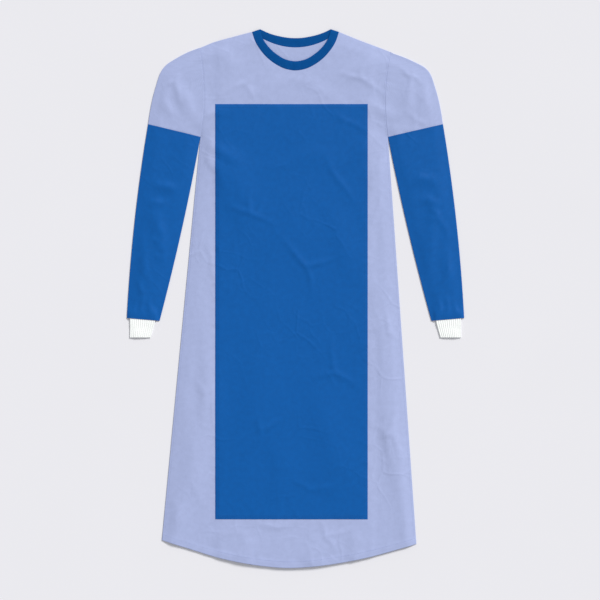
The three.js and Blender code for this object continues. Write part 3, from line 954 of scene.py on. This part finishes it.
def cuff_lift(points):
    """The upper wall of a cuff stands up a little once it is out of the sleeve."""
    free = smooth_step(distance_to(cuff_edges, points) / (14 * MM))
    start = CUFF_COMES_DOWN[0] * MM
    out_of_sleeve = smooth_step((-points[:, 1] - start) / (25 * MM))
    return free * out_of_sleeve * (1.1 * MM + 0.6 * MM * uneven(points, 24 * MM, 21))


def knitted_cuff(side, name):
    y = CUFF_ROWS[0]["y"] * MM - graded((CUFF_ROWS[0]["y"] - CUFF_ROWS[-1]["y"]) * MM, cell=2 * MM)
    table_y = [row["y"] * MM for row in CUFF_ROWS[::-1]]
    edges = []
    for column in ("seam_x", "fold_x"):
        x = np.interp(y, table_y, [side * row[column] * MM for row in CUFF_ROWS[::-1]])
        edges.append(np.stack([x, y], axis=-1))
    seam, fold = edges
    start, end = (edge * MM for edge in CUFF_COMES_DOWN)
    low = mix(LAYER, RIBS_REACH, smooth_step((-y - start) / (end - start)))
    inside = 0 * y + GAP
    piece = tube_shell(name, seam, fold, low, inside, True, CUFF_POINTS, wall=CUFF_WALL, lift=cuff_lift)
    mesh = piece.data
    columns = len(mesh.vertices) // 2 // len(y)
    place = np.array([v.co for v in mesh.vertices]).reshape(2, columns, len(y), 3)
    middle = place.mean(axis=0)
    step = np.linalg.norm(np.diff(np.concatenate([middle, middle[:1]]), axis=0), axis=-1)
    so_far = np.concatenate([0 * step[:1], np.cumsum(step, axis=0)])
    # A whole number of ribs goes round each row, so that the last one meets the first.
    around = so_far[:-1] / so_far[-1:] * round(so_far[-1].mean() / RIB_PITCH) * RIB_PITCH
    outward = place[0] - place[1]
    outward /= np.linalg.norm(outward, axis=-1, keepdims=True)
    both = np.stack([outward, outward]).reshape(-1, 3)
    mesh.attributes.new("around", "FLOAT", "POINT").data.foreach_set("value", np.tile(around.ravel(), 2))
    mesh.attributes.new("outward", "FLOAT_VECTOR", "POINT").data.foreach_set("vector", both.ravel())
    print(f"{name}: {columns} points round, {round(so_far[-1].mean() / RIB_PITCH)} ribs")
    return bake_nodes(piece, ribs, {"Pitch": RIB_PITCH, "Depth": RIB_DEPTH})


cloth["cuff_left"] = knitted_cuff(LEFT, "cuff_left_knit")
cloth["cuff_right"] = knitted_cuff(RIGHT, "cuff_right_knit")

# %% [markdown]
# ## Stitches and weld marks
#
# Thread and welds are what hold a gown together, and they are what makes a seam read as a seam. We draw
# each row as a line on the cloth and let one Geometry Nodes tree set small rounded stitches along it. A
# weld mark is the same thing, only wider and flatter, so the tree makes both.


# %% The stitch tree
def stitch_tree():
    tree, given, made = new_tree(
        "Stitch rows",
        "GeometryNodeTree",
        [
            ("Rows", "NodeSocketGeometry", None),
            ("Pitch", "NodeSocketFloat", 0.003),
            ("Length", "NodeSocketFloat", 0.0022),
            ("Width", "NodeSocketFloat", 0.0005),
            ("Height", "NodeSocketFloat", 0.0003),
            ("Thread", "NodeSocketMaterial", None),
        ],
        [("Stitches", "NodeSocketGeometry", None)],
    )
    line = add_node(tree, "GeometryNodeMeshToCurve", {"Mesh": given.outputs["Rows"]})
    points = add_node(
        tree,
        "GeometryNodeCurveToPoints",
        {"Curve": line.outputs["Curve"], "Length": given.outputs["Pitch"]},
        mode="LENGTH",
    )
    ball = add_node(tree, "GeometryNodeMeshUVSphere", {"Segments": 6, "Rings": 4, "Radius": 0.5})
    along = add_node(
        tree,
        "FunctionNodeAlignRotationToVector",
        {"Vector": points.outputs["Tangent"]},
        axis="X",
        pivot_axis="Z",
    )
    sizes = {name: given.outputs[title] for name, title in (("X", "Length"), ("Y", "Width"), ("Z", "Height"))}
    size = add_node(tree, "ShaderNodeCombineXYZ", sizes)
    placed = add_node(
        tree,
        "GeometryNodeInstanceOnPoints",
        {
            "Points": points.outputs["Points"],
            "Instance": ball.outputs["Mesh"],
            "Rotation": along.outputs["Rotation"],
            "Scale": size.outputs["Vector"],
        },
    )
    real = add_node(tree, "GeometryNodeRealizeInstances", {"Geometry": placed.outputs["Instances"]})
    smooth = add_node(tree, "GeometryNodeSetShadeSmooth", {"Geometry": real.outputs["Geometry"]})
    coloured = add_node(
        tree,
        "GeometryNodeSetMaterial",
        {"Geometry": smooth.outputs["Geometry"], "Material": given.outputs["Thread"]},
    )
    tree.links.new(coloured.outputs["Geometry"], made.inputs["Stitches"])
    return tree


stitching = stitch_tree()
print("the stitch tree has", len(stitching.nodes), "nodes")

# %% [markdown]
# ## Shader groups that several fabrics share
#
# A nonwoven cloth has no yarns. It is a felt of fine plastic threads, pressed together at a grid of tiny
# points. Held to the light it looks cloudy, because the threads don't fall evenly. One group gives the
# points and the clouds, in metres of cloth, so that every fabric of this kind can use it at its own scale.


# %% The group for bonded fibres
def shader_group(name, inputs, outputs):
    kinds = {float: "NodeSocketFloat", tuple: "NodeSocketVector"}
    given = [(title, kinds[type(default)], default) for title, default in inputs]
    return new_tree(name, "ShaderNodeTree", given, [(title, "NodeSocketFloat", None) for title in outputs])


def noise(tree, vector, detail=2.0, roughness=0.5):
    values = {"Vector": vector, "Scale": 1.0, "Detail": detail, "Roughness": roughness}
    return add_node(tree, "ShaderNodeTexNoise", values).outputs["Fac"]


def bump(tree, height, strength, distance, under=None):
    """The normal of a surface with this relief, on top of another relief where one is given."""
    values = {"Height": height, "Strength": strength, "Distance": distance}
    if under is not None:
        values["Normal"] = under
    return add_node(tree, "ShaderNodeBump", values).outputs["Normal"]


def stretch(tree, value, low, high, to_low=0.0, to_high=1.0):
    """Turns low..high into to_low..to_high, and holds it there outside."""
    values = {"Value": value, "From Min": low, "From Max": high, "To Min": to_low, "To Max": to_high}
    return add_node(tree, "ShaderNodeMapRange", values).outputs["Result"]


def bonded_fibres():
    sizes = [("Points per metre", 420.0), ("Point size", 0.22), ("Cloud size", 0.012)]
    inputs = [("Cloth", (0.0, 0.0, 0.0))] + sizes
    tree, given, made = shader_group("Bonded fibres", inputs, ["Points", "Clouds", "Height"])
    on_grid = scaled(tree, given.outputs["Cloth"], given.outputs["Points per metre"])
    turned = add_node(
        tree, "ShaderNodeVectorRotate", {"Vector": on_grid, "Angle": math.radians(45)}, rotation_type="Z_AXIS"
    )
    cells = add_node(
        tree,
        "ShaderNodeTexVoronoi",
        {"Vector": turned.outputs["Vector"], "Scale": 1.0, "Randomness": 0.0},
        voronoi_dimensions="2D",
    )
    rim = maths(tree, "rim of a point", "ADD", given.outputs["Point size"], 0.16)
    dots = stretch(tree, cells.outputs["Distance"], given.outputs["Point size"], rim, 1.0, 0.0)
    per_metre = maths(tree, "clouds per metre", "DIVIDE", 1.0, given.outputs["Cloud size"])
    broad = noise(tree, scaled(tree, given.outputs["Cloth"], per_metre), detail=3.0, roughness=0.6)
    fine = noise(tree, scaled(tree, given.outputs["Cloth"], 1400.0), detail=1.0)
    broad, fine = maths(tree, "broad", "MULTIPLY", broad, 0.7), maths(tree, "fine", "MULTIPLY", fine, 0.3)
    clouds = maths(tree, "clouds", "ADD", broad, fine)
    height = maths(tree, "height", "SUBTRACT", clouds, maths(tree, "pressed", "MULTIPLY", dots, 0.8))
    for title, value in (("Points", dots), ("Clouds", clouds), ("Height", height)):
        tree.links.new(value, made.inputs[title])
    return tree


FIBRES = bonded_fibres()
print("bonded fibres:", len(FIBRES.nodes), "nodes")

# %% [markdown]
# Between the creases in the table are fainter ones, too fine and too many for the mesh. They are nearly
# straight, and they meet at points, like the edges between the cells of a Voronoi pattern. A noise bends
# them a little, and a second noise hides most of them, so that some places stay smooth.


# %% The group for handling creases
def handling_creases():
    inputs = [("Cloth", (0.0, 0.0, 0.0)), ("Size", 0.11), ("Width", 0.05)]
    tree, given, made = shader_group("Handling creases", inputs, ["Creases", "Patches"])
    per_metre = maths(tree, "per metre", "DIVIDE", 1.0, given.outputs["Size"])
    place = scaled(tree, given.outputs["Cloth"], per_metre)
    bend = add_node(tree, "ShaderNodeTexNoise", {"Vector": place, "Scale": 1.7, "Detail": 1.0})
    halves = {0: bend.outputs["Color"], 1: (0.5, 0.5, 0.5)}
    centred = add_node(tree, "ShaderNodeVectorMath", halves, operation="SUBTRACT").outputs["Vector"]
    bent = add_node(tree, "ShaderNodeVectorMath", {0: scaled(tree, centred, 0.35), 1: place})
    both = 0.0
    for scale, share in ((1.0, 1.0), (2.3, 0.5)):
        cells = add_node(
            tree,
            "ShaderNodeTexVoronoi",
            {"Vector": bent.outputs["Vector"], "Scale": scale},
            voronoi_dimensions="2D",
            feature="DISTANCE_TO_EDGE",
        )
        wide = maths(tree, "width here", "MULTIPLY", given.outputs["Width"], scale)
        near = maths(tree, "near", "DIVIDE", cells.outputs["Distance"], wide)
        line = maths(tree, "line", "SUBTRACT", 1.0, maths(tree, "cap", "MINIMUM", near, 1.0))
        both = maths(tree, "both", "ADD", both, maths(tree, "share", "MULTIPLY", line, share))
    patches = noise(tree, scaled(tree, place, 0.7), detail=1.0)
    creases = maths(tree, "creases", "MULTIPLY", both, stretch(tree, patches, 0.45, 0.65))
    tree.links.new(creases, made.inputs["Creases"])
    tree.links.new(patches, made.inputs["Patches"])
    return tree


CREASES = handling_creases()
print("handling creases:", len(CREASES.nodes), "nodes")

# %% [markdown]
# ## The fabrics
#
# One function makes every nonwoven fabric, and each gets its own values. The body cloth is light and
# matte, and its threads catch a soft sheen. The barrier cloth has a film inside, so that it is smoother
# and darker, and its points are closer. A sheen that is the same all over is a number on the shader.


# %% The nonwoven fabrics
def shader_of(name):
    material = bpy.data.materials.new(name)
    material.use_nodes = True
    tree = material.node_tree
    return material, tree, tree.nodes["Principled BSDF"]


def coordinates(tree):
    return add_node(tree, "ShaderNodeUVMap", uv_map="Cloth").outputs["UV"]


def shades(tree, amount, darker, lighter):
    """A colour between two, by an amount from 0 to 1. darker may be the socket of another colour."""
    mixed = add_node(tree, "ShaderNodeMix", data_type="RGBA")
    tree.links.new(amount, mixed.inputs["Factor"])
    if isinstance(darker, bpy.types.NodeSocket):
        tree.links.new(darker, mixed.inputs["A"])
    else:
        mixed.inputs["A"].default_value = (*darker, 1)
    mixed.inputs["B"].default_value = (*lighter, 1)
    return mixed.outputs["Result"]


def times(colour, factor):
    return tuple(channel * factor for channel in colour)


def nonwoven(name, colour, rough, sheen, specular, points, dot_shade, cloud_shade, crease, relief):
    """points is how many there are to a metre, and crease and relief are the strengths of the bumps."""
    material, tree, shader = shader_of(name)
    where = coordinates(tree)
    from_web = {"Cloth": where, "Points per metre": points}
    web = add_node(tree, "ShaderNodeGroup", from_web, node_tree=FIBRES).outputs
    used = add_node(tree, "ShaderNodeGroup", {"Cloth": where}, node_tree=CREASES).outputs
    tone = stretch(tree, web["Clouds"], 0.32, 0.68)
    cloudy = shades(tree, tone, times(colour, 1 - cloud_shade), times(colour, 1 + cloud_shade))
    dot_tone = maths(tree, "dot tone", "MULTIPLY", web["Points"], dot_shade)
    tree.links.new(shades(tree, dot_tone, cloudy, times(colour, 0.6)), shader.inputs["Base Color"])
    gloss = maths(tree, "gloss of a point", "MULTIPLY", web["Points"], -0.12)
    worn = maths(tree, "worn", "MULTIPLY", used["Patches"], 0.08)
    roughness = maths(tree, "rough", "ADD", maths(tree, "both", "ADD", gloss, worn), rough)
    tree.links.new(roughness, shader.inputs["Roughness"])
    creased = bump(tree, used["Creases"], crease, 1.6 * MM)
    fine = bump(tree, web["Height"], relief, 0.12 * MM, creased)
    tree.links.new(fine, shader.inputs["Normal"])
    shader.inputs["Sheen Weight"].default_value = sheen
    shader.inputs["Sheen Roughness"].default_value = 0.45
    shader.inputs["Specular IOR Level"].default_value = specular
    return material


LAVENDER = (0.392, 0.455, 0.725)
BARRIER_BLUE = (0.0015, 0.102, 0.392)
BINDING_BLUE = (0.0006, 0.074, 0.286)
light_feel = dict(rough=0.72, sheen=0.2, specular=0.35, points=420.0, crease=0.22, relief=0.5)
smooth_feel = dict(rough=0.52, sheen=0.02, specular=0.16, points=560.0, crease=0.28, relief=0.4)
tape_feel = dict(rough=0.66, sheen=0.02, specular=0.06, points=700.0, crease=0.2, relief=0.6)
lavender = nonwoven("Lavender nonwoven", LAVENDER, dot_shade=0.22, cloud_shade=0.045, **light_feel)
barrier = nonwoven("Blue barrier cloth", BARRIER_BLUE, dot_shade=0.16, cloud_shade=0.06, **smooth_feel)
binding = nonwoven("Blue binding tape", BINDING_BLUE, dot_shade=0.3, cloud_shade=0.08, **tape_feel)
print("nonwoven fabrics:", lavender.name, "|", barrier.name, "|", binding.name)

# %% [markdown]
# Rib knit is made of loops, and each loop looks like a small V. A sine across gives the columns of loops,
# and a second sine, bent up and down by the first, gives the rows. The material uses the cuff's own UV
# map, so the loops run along the ribs.


# %% White knit, hook tape and threads
LOOP_WIDTH, LOOP_HEIGHT = 1.7 * MM, 1.3 * MM


def white_knit():
    material, tree, shader = shader_of("White rib knit")
    split = add_node(tree, "ShaderNodeSeparateXYZ", {"Vector": coordinates(tree)})
    across = maths(tree, "columns", "MULTIPLY", split.outputs["X"], 2 * math.pi / LOOP_WIDTH)
    sides = maths(tree, "both sides", "ABSOLUTE", maths(tree, "one column", "SINE", across))
    bend = maths(tree, "bend", "MULTIPLY", sides, 2.4)
    down = maths(tree, "rows", "MULTIPLY", split.outputs["Y"], 2 * math.pi / LOOP_HEIGHT)
    loops = maths(tree, "loops", "SINE", maths(tree, "bent rows", "ADD", down, bend))
    columns = maths(tree, "between columns", "COSINE", maths(tree, "double", "MULTIPLY", across, 2.0))
    height = maths(tree, "loop height", "ADD", loops, columns)
    fuzz = noise(tree, scaled(tree, coordinates(tree), 900.0), detail=2.0)
    # The colour is a little darker where the loops lie low: painted shade between the loops, over a random
    # tone from the fuzz.
    loop_shade = maths(tree, "painted loop shade", "MULTIPLY", height, 0.2)
    tone = stretch(tree, maths(tree, "tone", "ADD", loop_shade, fuzz), 0.0, 1.0)
    white = shades(tree, tone, (0.91, 0.945, 0.94), (0.97, 0.985, 0.975))
    tree.links.new(white, shader.inputs["Base Color"])
    tree.links.new(stretch(tree, fuzz, 0.3, 0.7, 0.82, 0.94), shader.inputs["Roughness"])
    tree.links.new(bump(tree, height, 0.4, 0.08 * MM), shader.inputs["Normal"])
    shader.inputs["Sheen Weight"].default_value = 0.3
    shader.inputs["Specular IOR Level"].default_value = 0.2
    return material


def hook_tape():
    material, tree, shader = shader_of("White hook tape")
    grid = scaled(tree, coordinates(tree), 620.0)
    values = {"Vector": grid, "Scale": 1.0, "Randomness": 0.15}
    hooks = add_node(tree, "ShaderNodeTexVoronoi", values, voronoi_dimensions="2D")
    height = stretch(tree, hooks.outputs["Distance"], 0.15, 0.5, 1.0, 0.0)
    # The colour follows the height: lighter on the hooks and darker between them, as painted shade in the
    # hollows.
    tree.links.new(shades(tree, height, (0.62, 0.64, 0.65), (0.86, 0.87, 0.87)), shader.inputs["Base Color"])
    tree.links.new(stretch(tree, height, 0.0, 1.0, 0.6, 0.38), shader.inputs["Roughness"])
    tree.links.new(bump(tree, height, 0.7, 0.4 * MM), shader.inputs["Normal"])
    return material


def thread(name, colour):
    """Thread or a weld mark: its colour varies a little along the row."""
    material, tree, shader = shader_of(name)
    place = add_node(tree, "ShaderNodeTexCoord").outputs["Object"]
    tone = noise(tree, scaled(tree, place, 300.0), detail=1.0)
    tree.links.new(shades(tree, tone, times(colour, 0.86), times(colour, 1.14)), shader.inputs["Base Color"])
    tree.links.new(stretch(tree, tone, 0.3, 0.7, 0.52, 0.68), shader.inputs["Roughness"])
    shader.inputs["Specular IOR Level"].default_value = 0.3
    return material


lavender_thread = thread("Lavender thread", times(LAVENDER, 0.86))
blue_thread = thread("Blue thread", times(BARRIER_BLUE, 0.8))
weld_mark = thread("Weld mark", times(BARRIER_BLUE, 0.72))
binding_thread = thread("Binding thread", times(BINDING_BLUE, 1.5))
white_thread = thread("White thread", (0.8, 0.82, 0.82))
SLOTS = dict(
    lavender_nonwoven=lavender,
    blue_barrier=barrier,
    blue_binding=binding,
    white_knit=white_knit(),
    white_hook_tape=hook_tape(),
)
print("materials:", ", ".join(material.name for material in bpy.data.materials))

# %% [markdown]
# ## Where the rows of stitches go
#
# Each row is a line in plan, and it gets its height from the same field as the cloth under it. A row on
# the upper face sits half sunk in the cloth, and a row on the back shows from below.

# %% Rows of stitches
UNDER_STITCH = 0.25 * MM  # half the height of the tallest stitch, so that none goes into the table
FROM_SEAM = 5 * MM  # from a side seam to its row, and from the ends of a hem row to the sides
FROM_FREE_EDGE = 4 * MM
FROM_ARMHOLE = 3 * MM
FROM_JOIN = 3 * MM
FROM_SLEEVE_END = 4 * MM
SHORT_OF_FOLD = 7 * MM  # how far from the folded edges a row across a sleeve stops
WELD_INSETS = (3.5 * MM, 8 * MM)


def on_top(line, low_at, wall=WALL, extra=0.0):
    """A line of points on the upper face of a piece."""
    z = low_at(line) + wall / 2 + (wall - (WALL - CLOTH)) / 2 + extra
    return np.concatenate([line, z[:, None]], axis=1)


def underneath(line, low_at):
    """A line of points by the under face of a piece, high enough for the stitches to clear the table."""
    z = low_at(line) + UNDER_STITCH
    return np.concatenate([line, z[:, None]], axis=1)


def hem_row(side_from, side_to, above):
    x = np.linspace(side_from, side_to, 120)
    return np.stack([x, hem_y(x) + above], axis=-1)


def beside_seam(side):
    """A row on the body, beside its side seam."""
    return side_seam(side, np.linspace(0.004, 0.995, 200)) - [side * FROM_SEAM, 0]


def beside_armhole(side):
    """A row on the body, beside the armhole."""
    return armhole(side, np.linspace(0.25, HEAD_END - 0.15, 80)) - [side * FROM_ARMHOLE, 0]


def between_ends(start, end, inset, count=60):
    """A straight row between two points that stops short of both."""
    way = (end - start) / np.linalg.norm(end - start)
    return mix(start + way * inset, end - way * inset, np.linspace(0, 1, count)[:, None])


def panel_row(inset):
    """A row all round the front panel, a given way inside its edge."""
    x, y = [np.array([low + inset, high - inset]) for low, high in (panel_x, panel_y)]
    corners = np.stack([x[[0, 1, 1, 0, 0]], y[[0, 0, 1, 1, 0]]], axis=-1)
    sides = [between_ends(a, b, 0, 160)[:-1] for a, b in zip(corners[:-1], corners[1:])]
    return np.concatenate(sides + [corners[-1:]])


def top_wall_low(points):
    """The underside of a sleeve's upper wall, which carries on from the front of the body."""
    return back_lift(points) + LAYER + sleeve_lift(points)


def strip_middle(node):
    plan = plans[node]
    return plan[plan.shape[0] // 2, 4:-4]


left_hem, right_hem = (side * HEM_HALF + HEM_DRIFT - side * FROM_SEAM for side in (LEFT, RIGHT))
free_hem = FREE_EDGE["hem"] * MM - FROM_FREE_EDGE
lavender_rows = [
    on_top(hem_row(right_hem, left_hem, HEM_STITCH), front_low, extra=HEM_FOLD),
    underneath(hem_row(right_hem, free_hem, HEM_STITCH), back_right_low),
    underneath(hem_row(-free_hem, left_hem, HEM_STITCH), back_left_low),
]
blue_rows = []
for side in (LEFT, RIGHT):
    back_low = back_left_low if side == LEFT else back_right_low
    underarm, fold_end = armhole(side, [HEAD_END])[0], head_fold(side, [HEAD_END])[0]
    sleeve_seam, sleeve_fold = sleeve_edges(side, [0, 1])
    above_join = between_ends(underarm, fold_end, SHORT_OF_FOLD) + [0, FROM_JOIN]
    below_join = between_ends(sleeve_seam[0], sleeve_fold[0], SHORT_OF_FOLD) - [0, FROM_JOIN]
    sleeve_end = between_ends(sleeve_seam[1], sleeve_fold[1], SHORT_OF_FOLD) + [0, FROM_SLEEVE_END]
    lavender_rows += [
        on_top(beside_seam(side), front_low),
        underneath(beside_seam(side), back_low),
        on_top(beside_armhole(side), front_low),
        underneath(beside_armhole(side), back_low),
        on_top(above_join, top_wall_low),
        underneath(above_join, back_right_low),
    ]
    blue_rows += [
        on_top(below_join, top_wall_low),
        underneath(below_join, back_right_low),
        on_top(sleeve_end, top_wall_low),
        underneath(sleeve_end, back_right_low),
    ]
for node in ("tie_outer", "tie_inner"):
    lavender_rows.append(underneath(strip_middle(node), lows[node]))
weld_rows = [on_top(panel_row(inset), panel_low) for inset in WELD_INSETS]


def binding_row(face, start, end):
    """A row along the binding, just inside its cut edge, that stops short of both ends."""
    at = np.linspace(start + 0.3, end - 0.3, 120)
    return mix(neck_line(face, "cut", at), neck_line(face, "rim", at), 0.12)


back_row = binding_row("back", -FREE_ROW, SHOULDER_ROW)
binding_rows = [
    on_top(binding_row("front", -SHOULDER_ROW, SHOULDER_ROW), front_low, FRONT_BINDING_WALL),
    on_top(back_row, back_left_low, BACK_BINDING_WALL),
    underneath(back_row * [-1, 1], back_right_low),
]
tab_rows = [underneath(strip_middle("neck_tab"), lows["neck_tab"])]
print(len(lavender_rows + blue_rows + weld_rows + binding_rows + tab_rows), "rows of stitches")


# %% Stitch along the rows
STITCHES = [
    dict(of="lavender", name="stitches_lavender", pitch=3.4, length=2.5, width=0.7, height=0.5),
    dict(of="blue", name="stitches_sleeves", pitch=3.2, length=2.3, width=0.7, height=0.5),
    dict(of="welds", name="welds_panel", pitch=4.2, length=2.4, width=1.3, height=0.16),
    dict(of="binding", name="stitches_binding", pitch=2.8, length=2.0, width=0.6, height=0.5),
    dict(of="tab", name="stitches_tab", pitch=2.4, length=1.8, width=0.5, height=0.4),
]
lines_of = dict(lavender=lavender_rows, blue=blue_rows, welds=weld_rows, binding=binding_rows, tab=tab_rows)
thread_of = dict(
    lavender=lavender_thread, blue=blue_thread, welds=weld_mark, binding=binding_thread, tab=white_thread
)
stitches = {}
for row in STITCHES:
    lines = lines_of[row["of"]]
    points = np.concatenate(lines)
    ends = np.cumsum([len(line) for line in lines])
    edges = [(i, i + 1) for i in range(len(points) - 1) if i + 1 not in ends]
    mesh = bpy.data.meshes.new(row["name"])
    mesh.from_pydata(points, edges, [])
    piece = bpy.data.objects.new(row["name"], mesh)
    bpy.context.scene.collection.objects.link(piece)
    sizes = {title: row[title.lower()] * MM for title in ("Pitch", "Length", "Width", "Height")}
    stitches[row["of"]] = bake_nodes(piece, stitching, {**sizes, "Thread": thread_of[row["of"]]})
    print(f"{piece.name:22s} {len(piece.data.polygons) // 24:5d} stitches")

# %% [markdown]
#
# Every piece rides on the gown's one body. The size that each piece of cloth was cut to is worked out as
# well. A panel's size is measured on its outline, a tape's along its longest edge, and a tube's all the way
# round.

# %% Cut sizes
def flat_area(grid):
    """The area of a flat grid of points, from its cells' diagonals."""
    one, other = grid[1:, 1:] - grid[:-1, :-1], grid[:-1, 1:] - grid[1:, :-1]
    return np.abs(one[..., 0] * other[..., 1] - one[..., 1] * other[..., 0]).sum() / 2


def cut_size(plan):
    """Width, length and area of a panel's cut."""
    low, high = plan.reshape(-1, 2).min(axis=0), plan.reshape(-1, 2).max(axis=0)
    return tuple(high - low), flat_area(plan)


def tape_cut(plan):
    """Width, length and area of a tape that was cut straight and sewn on in a curve."""
    size = [max(lengths_along(plan, axis)[0].max(axis=axis)) for axis in (0, 1)]
    return tuple(size), flat_area(plan)


def tube_cut(seam, fold):
    """Width, length and area of the cut of a flattened sleeve, which goes round twice its flat width."""
    width = 2 * np.linalg.norm(fold - seam, axis=1)
    length = max(np.linalg.norm(np.diff(line, axis=0), axis=1).sum() for line in (seam, fold))
    return (width.max(), length), 2 * flat_area(np.stack([seam, fold]))


cuts = {node: cut_size(plan) for node, plan in plans.items()}
cuts["neck_binding_front"] = tape_cut(front_tape)
for word in ("left", "right"):
    cuts["neck_binding_back_" + word] = tape_cut(back_tape)
for side, word in ((LEFT, "left"), (RIGHT, "right")):
    at = np.linspace(0, HEAD_END, 60)
    cuts["sleeve_upper_" + word] = tube_cut(armhole(side, at), head_fold(side, at))
    cuts["sleeve_lower_" + word] = tube_cut(*sleeve_edges(side, np.linspace(0, 1, 60)))
    cuts["cuff_" + word] = tube_cut(*cuff_lines(side, CUFF_ROWS))
for node, (size, area) in cuts.items():
    print(f"{node:24s} {size[0]:.3f} x {size[1]:.3f} m, {area:.4f} m2, {area / size[0] / size[1]:.2f} of it")

# %% Ride, replace and slot
SLOT_OF = dict(
    front_panel="blue_barrier",
    sleeve_lower="blue_barrier",
    neck_binding="blue_binding",
    neck_tab="white_hook_tape",
    cuff="white_knit",
)


def slot_of(node):
    """The slot of a node, by how its name starts."""
    for start, slot_name in SLOT_OF.items():
        if node.startswith(start):
            return slot_name
    return "lavender_nonwoven"


for node, piece in cloth.items():
    piece.data.materials.clear()
    piece.data.materials.append(SLOTS[slot_of(node)])
    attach(piece, "root")
    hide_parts(node)
    size, area = cuts[node]
for name, piece in stitches.items():
    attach(piece, "root")
print(len(cloth), "sheets and", len(stitches), "sets of stitches")

# %% [markdown]
# ## Floor, light and camera
#
# The gown lies on a pale table and the camera looks straight down on it. A wide soft sun from the upper
# right gives each fold a light and a dark side, and the pale sky fills the shadows.


# %% The table
PALE = (0.816, 0.813, 0.856)


def table_top():
    material, tree, shader = shader_of("Pale table")
    place = add_node(tree, "ShaderNodeTexCoord").outputs["Object"]
    tone = noise(tree, scaled(tree, place, 3.0), detail=2.0)
    tree.links.new(shades(tree, tone, times(PALE, 0.99), times(PALE, 1.01)), shader.inputs["Base Color"])
    shader.inputs["Roughness"].default_value = 0.9
    shader.inputs["Specular IOR Level"].default_value = 0.0
    half, below = 80.0, -0.2 * MM  # so wide, in metres, that no edge of it shows even in a low view
    mesh = bpy.data.meshes.new("table_top")
    corners = [(-half, -half, below), (half, -half, below), (half, half, below), (-half, half, below)]
    mesh.from_pydata(corners, [], [(0, 1, 2, 3)])
    mesh.materials.append(material)
    table = bpy.data.objects.new("table_top", mesh)
    bpy.context.scene.collection.objects.link(table)


table_top()
print("table made")

# %% Light
scene = bpy.context.scene
world = bpy.data.worlds.new("Studio")
world.use_nodes = True
sky = world.node_tree
fill = sky.nodes["Background"]
fill.inputs["Color"].default_value = (0.97, 0.985, 1.0, 1)
fill.inputs["Strength"].default_value = 0.50
# The camera sees a pale wall behind the table, but only the fill and the sun light the gown.
wall = add_node(sky, "ShaderNodeBackground", {"Color": (*PALE, 1), "Strength": 1.0})
seen = add_node(sky, "ShaderNodeLightPath").outputs["Is Camera Ray"]
backdrop = add_node(sky, "ShaderNodeMixShader", {0: seen, 1: fill.outputs[0], 2: wall.outputs[0]})
sky.links.new(backdrop.outputs[0], sky.nodes["World Output"].inputs["Surface"])
scene.world = world
sun = bpy.data.lights.new("Window", "SUN")
sun.energy = 3.05
sun.angle = math.radians(16)
sun.color = (1.0, 0.985, 0.96)
window = bpy.data.objects.new("Window", sun)
window.rotation_euler = (math.radians(-57), 0, math.radians(-38))
scene.collection.objects.link(window)
scene.view_settings.view_transform = "Standard"
print("sun strength", sun.energy)

# %% Camera
VIEW_CENTRE = (10.6 * MM, -3.5 * MM)
VIEW_HEIGHT = 3.343
lens = bpy.data.cameras.new("Camera")
lens.lens = 85
lens.sensor_width = 36
lens.clip_end = 50
camera = bpy.data.objects.new("Camera", lens)
camera.location = (*VIEW_CENTRE, VIEW_HEIGHT)
scene.collection.objects.link(camera)
scene.camera = camera
print("the view is", round(VIEW_HEIGHT * lens.sensor_width / lens.lens, 3), "m wide")
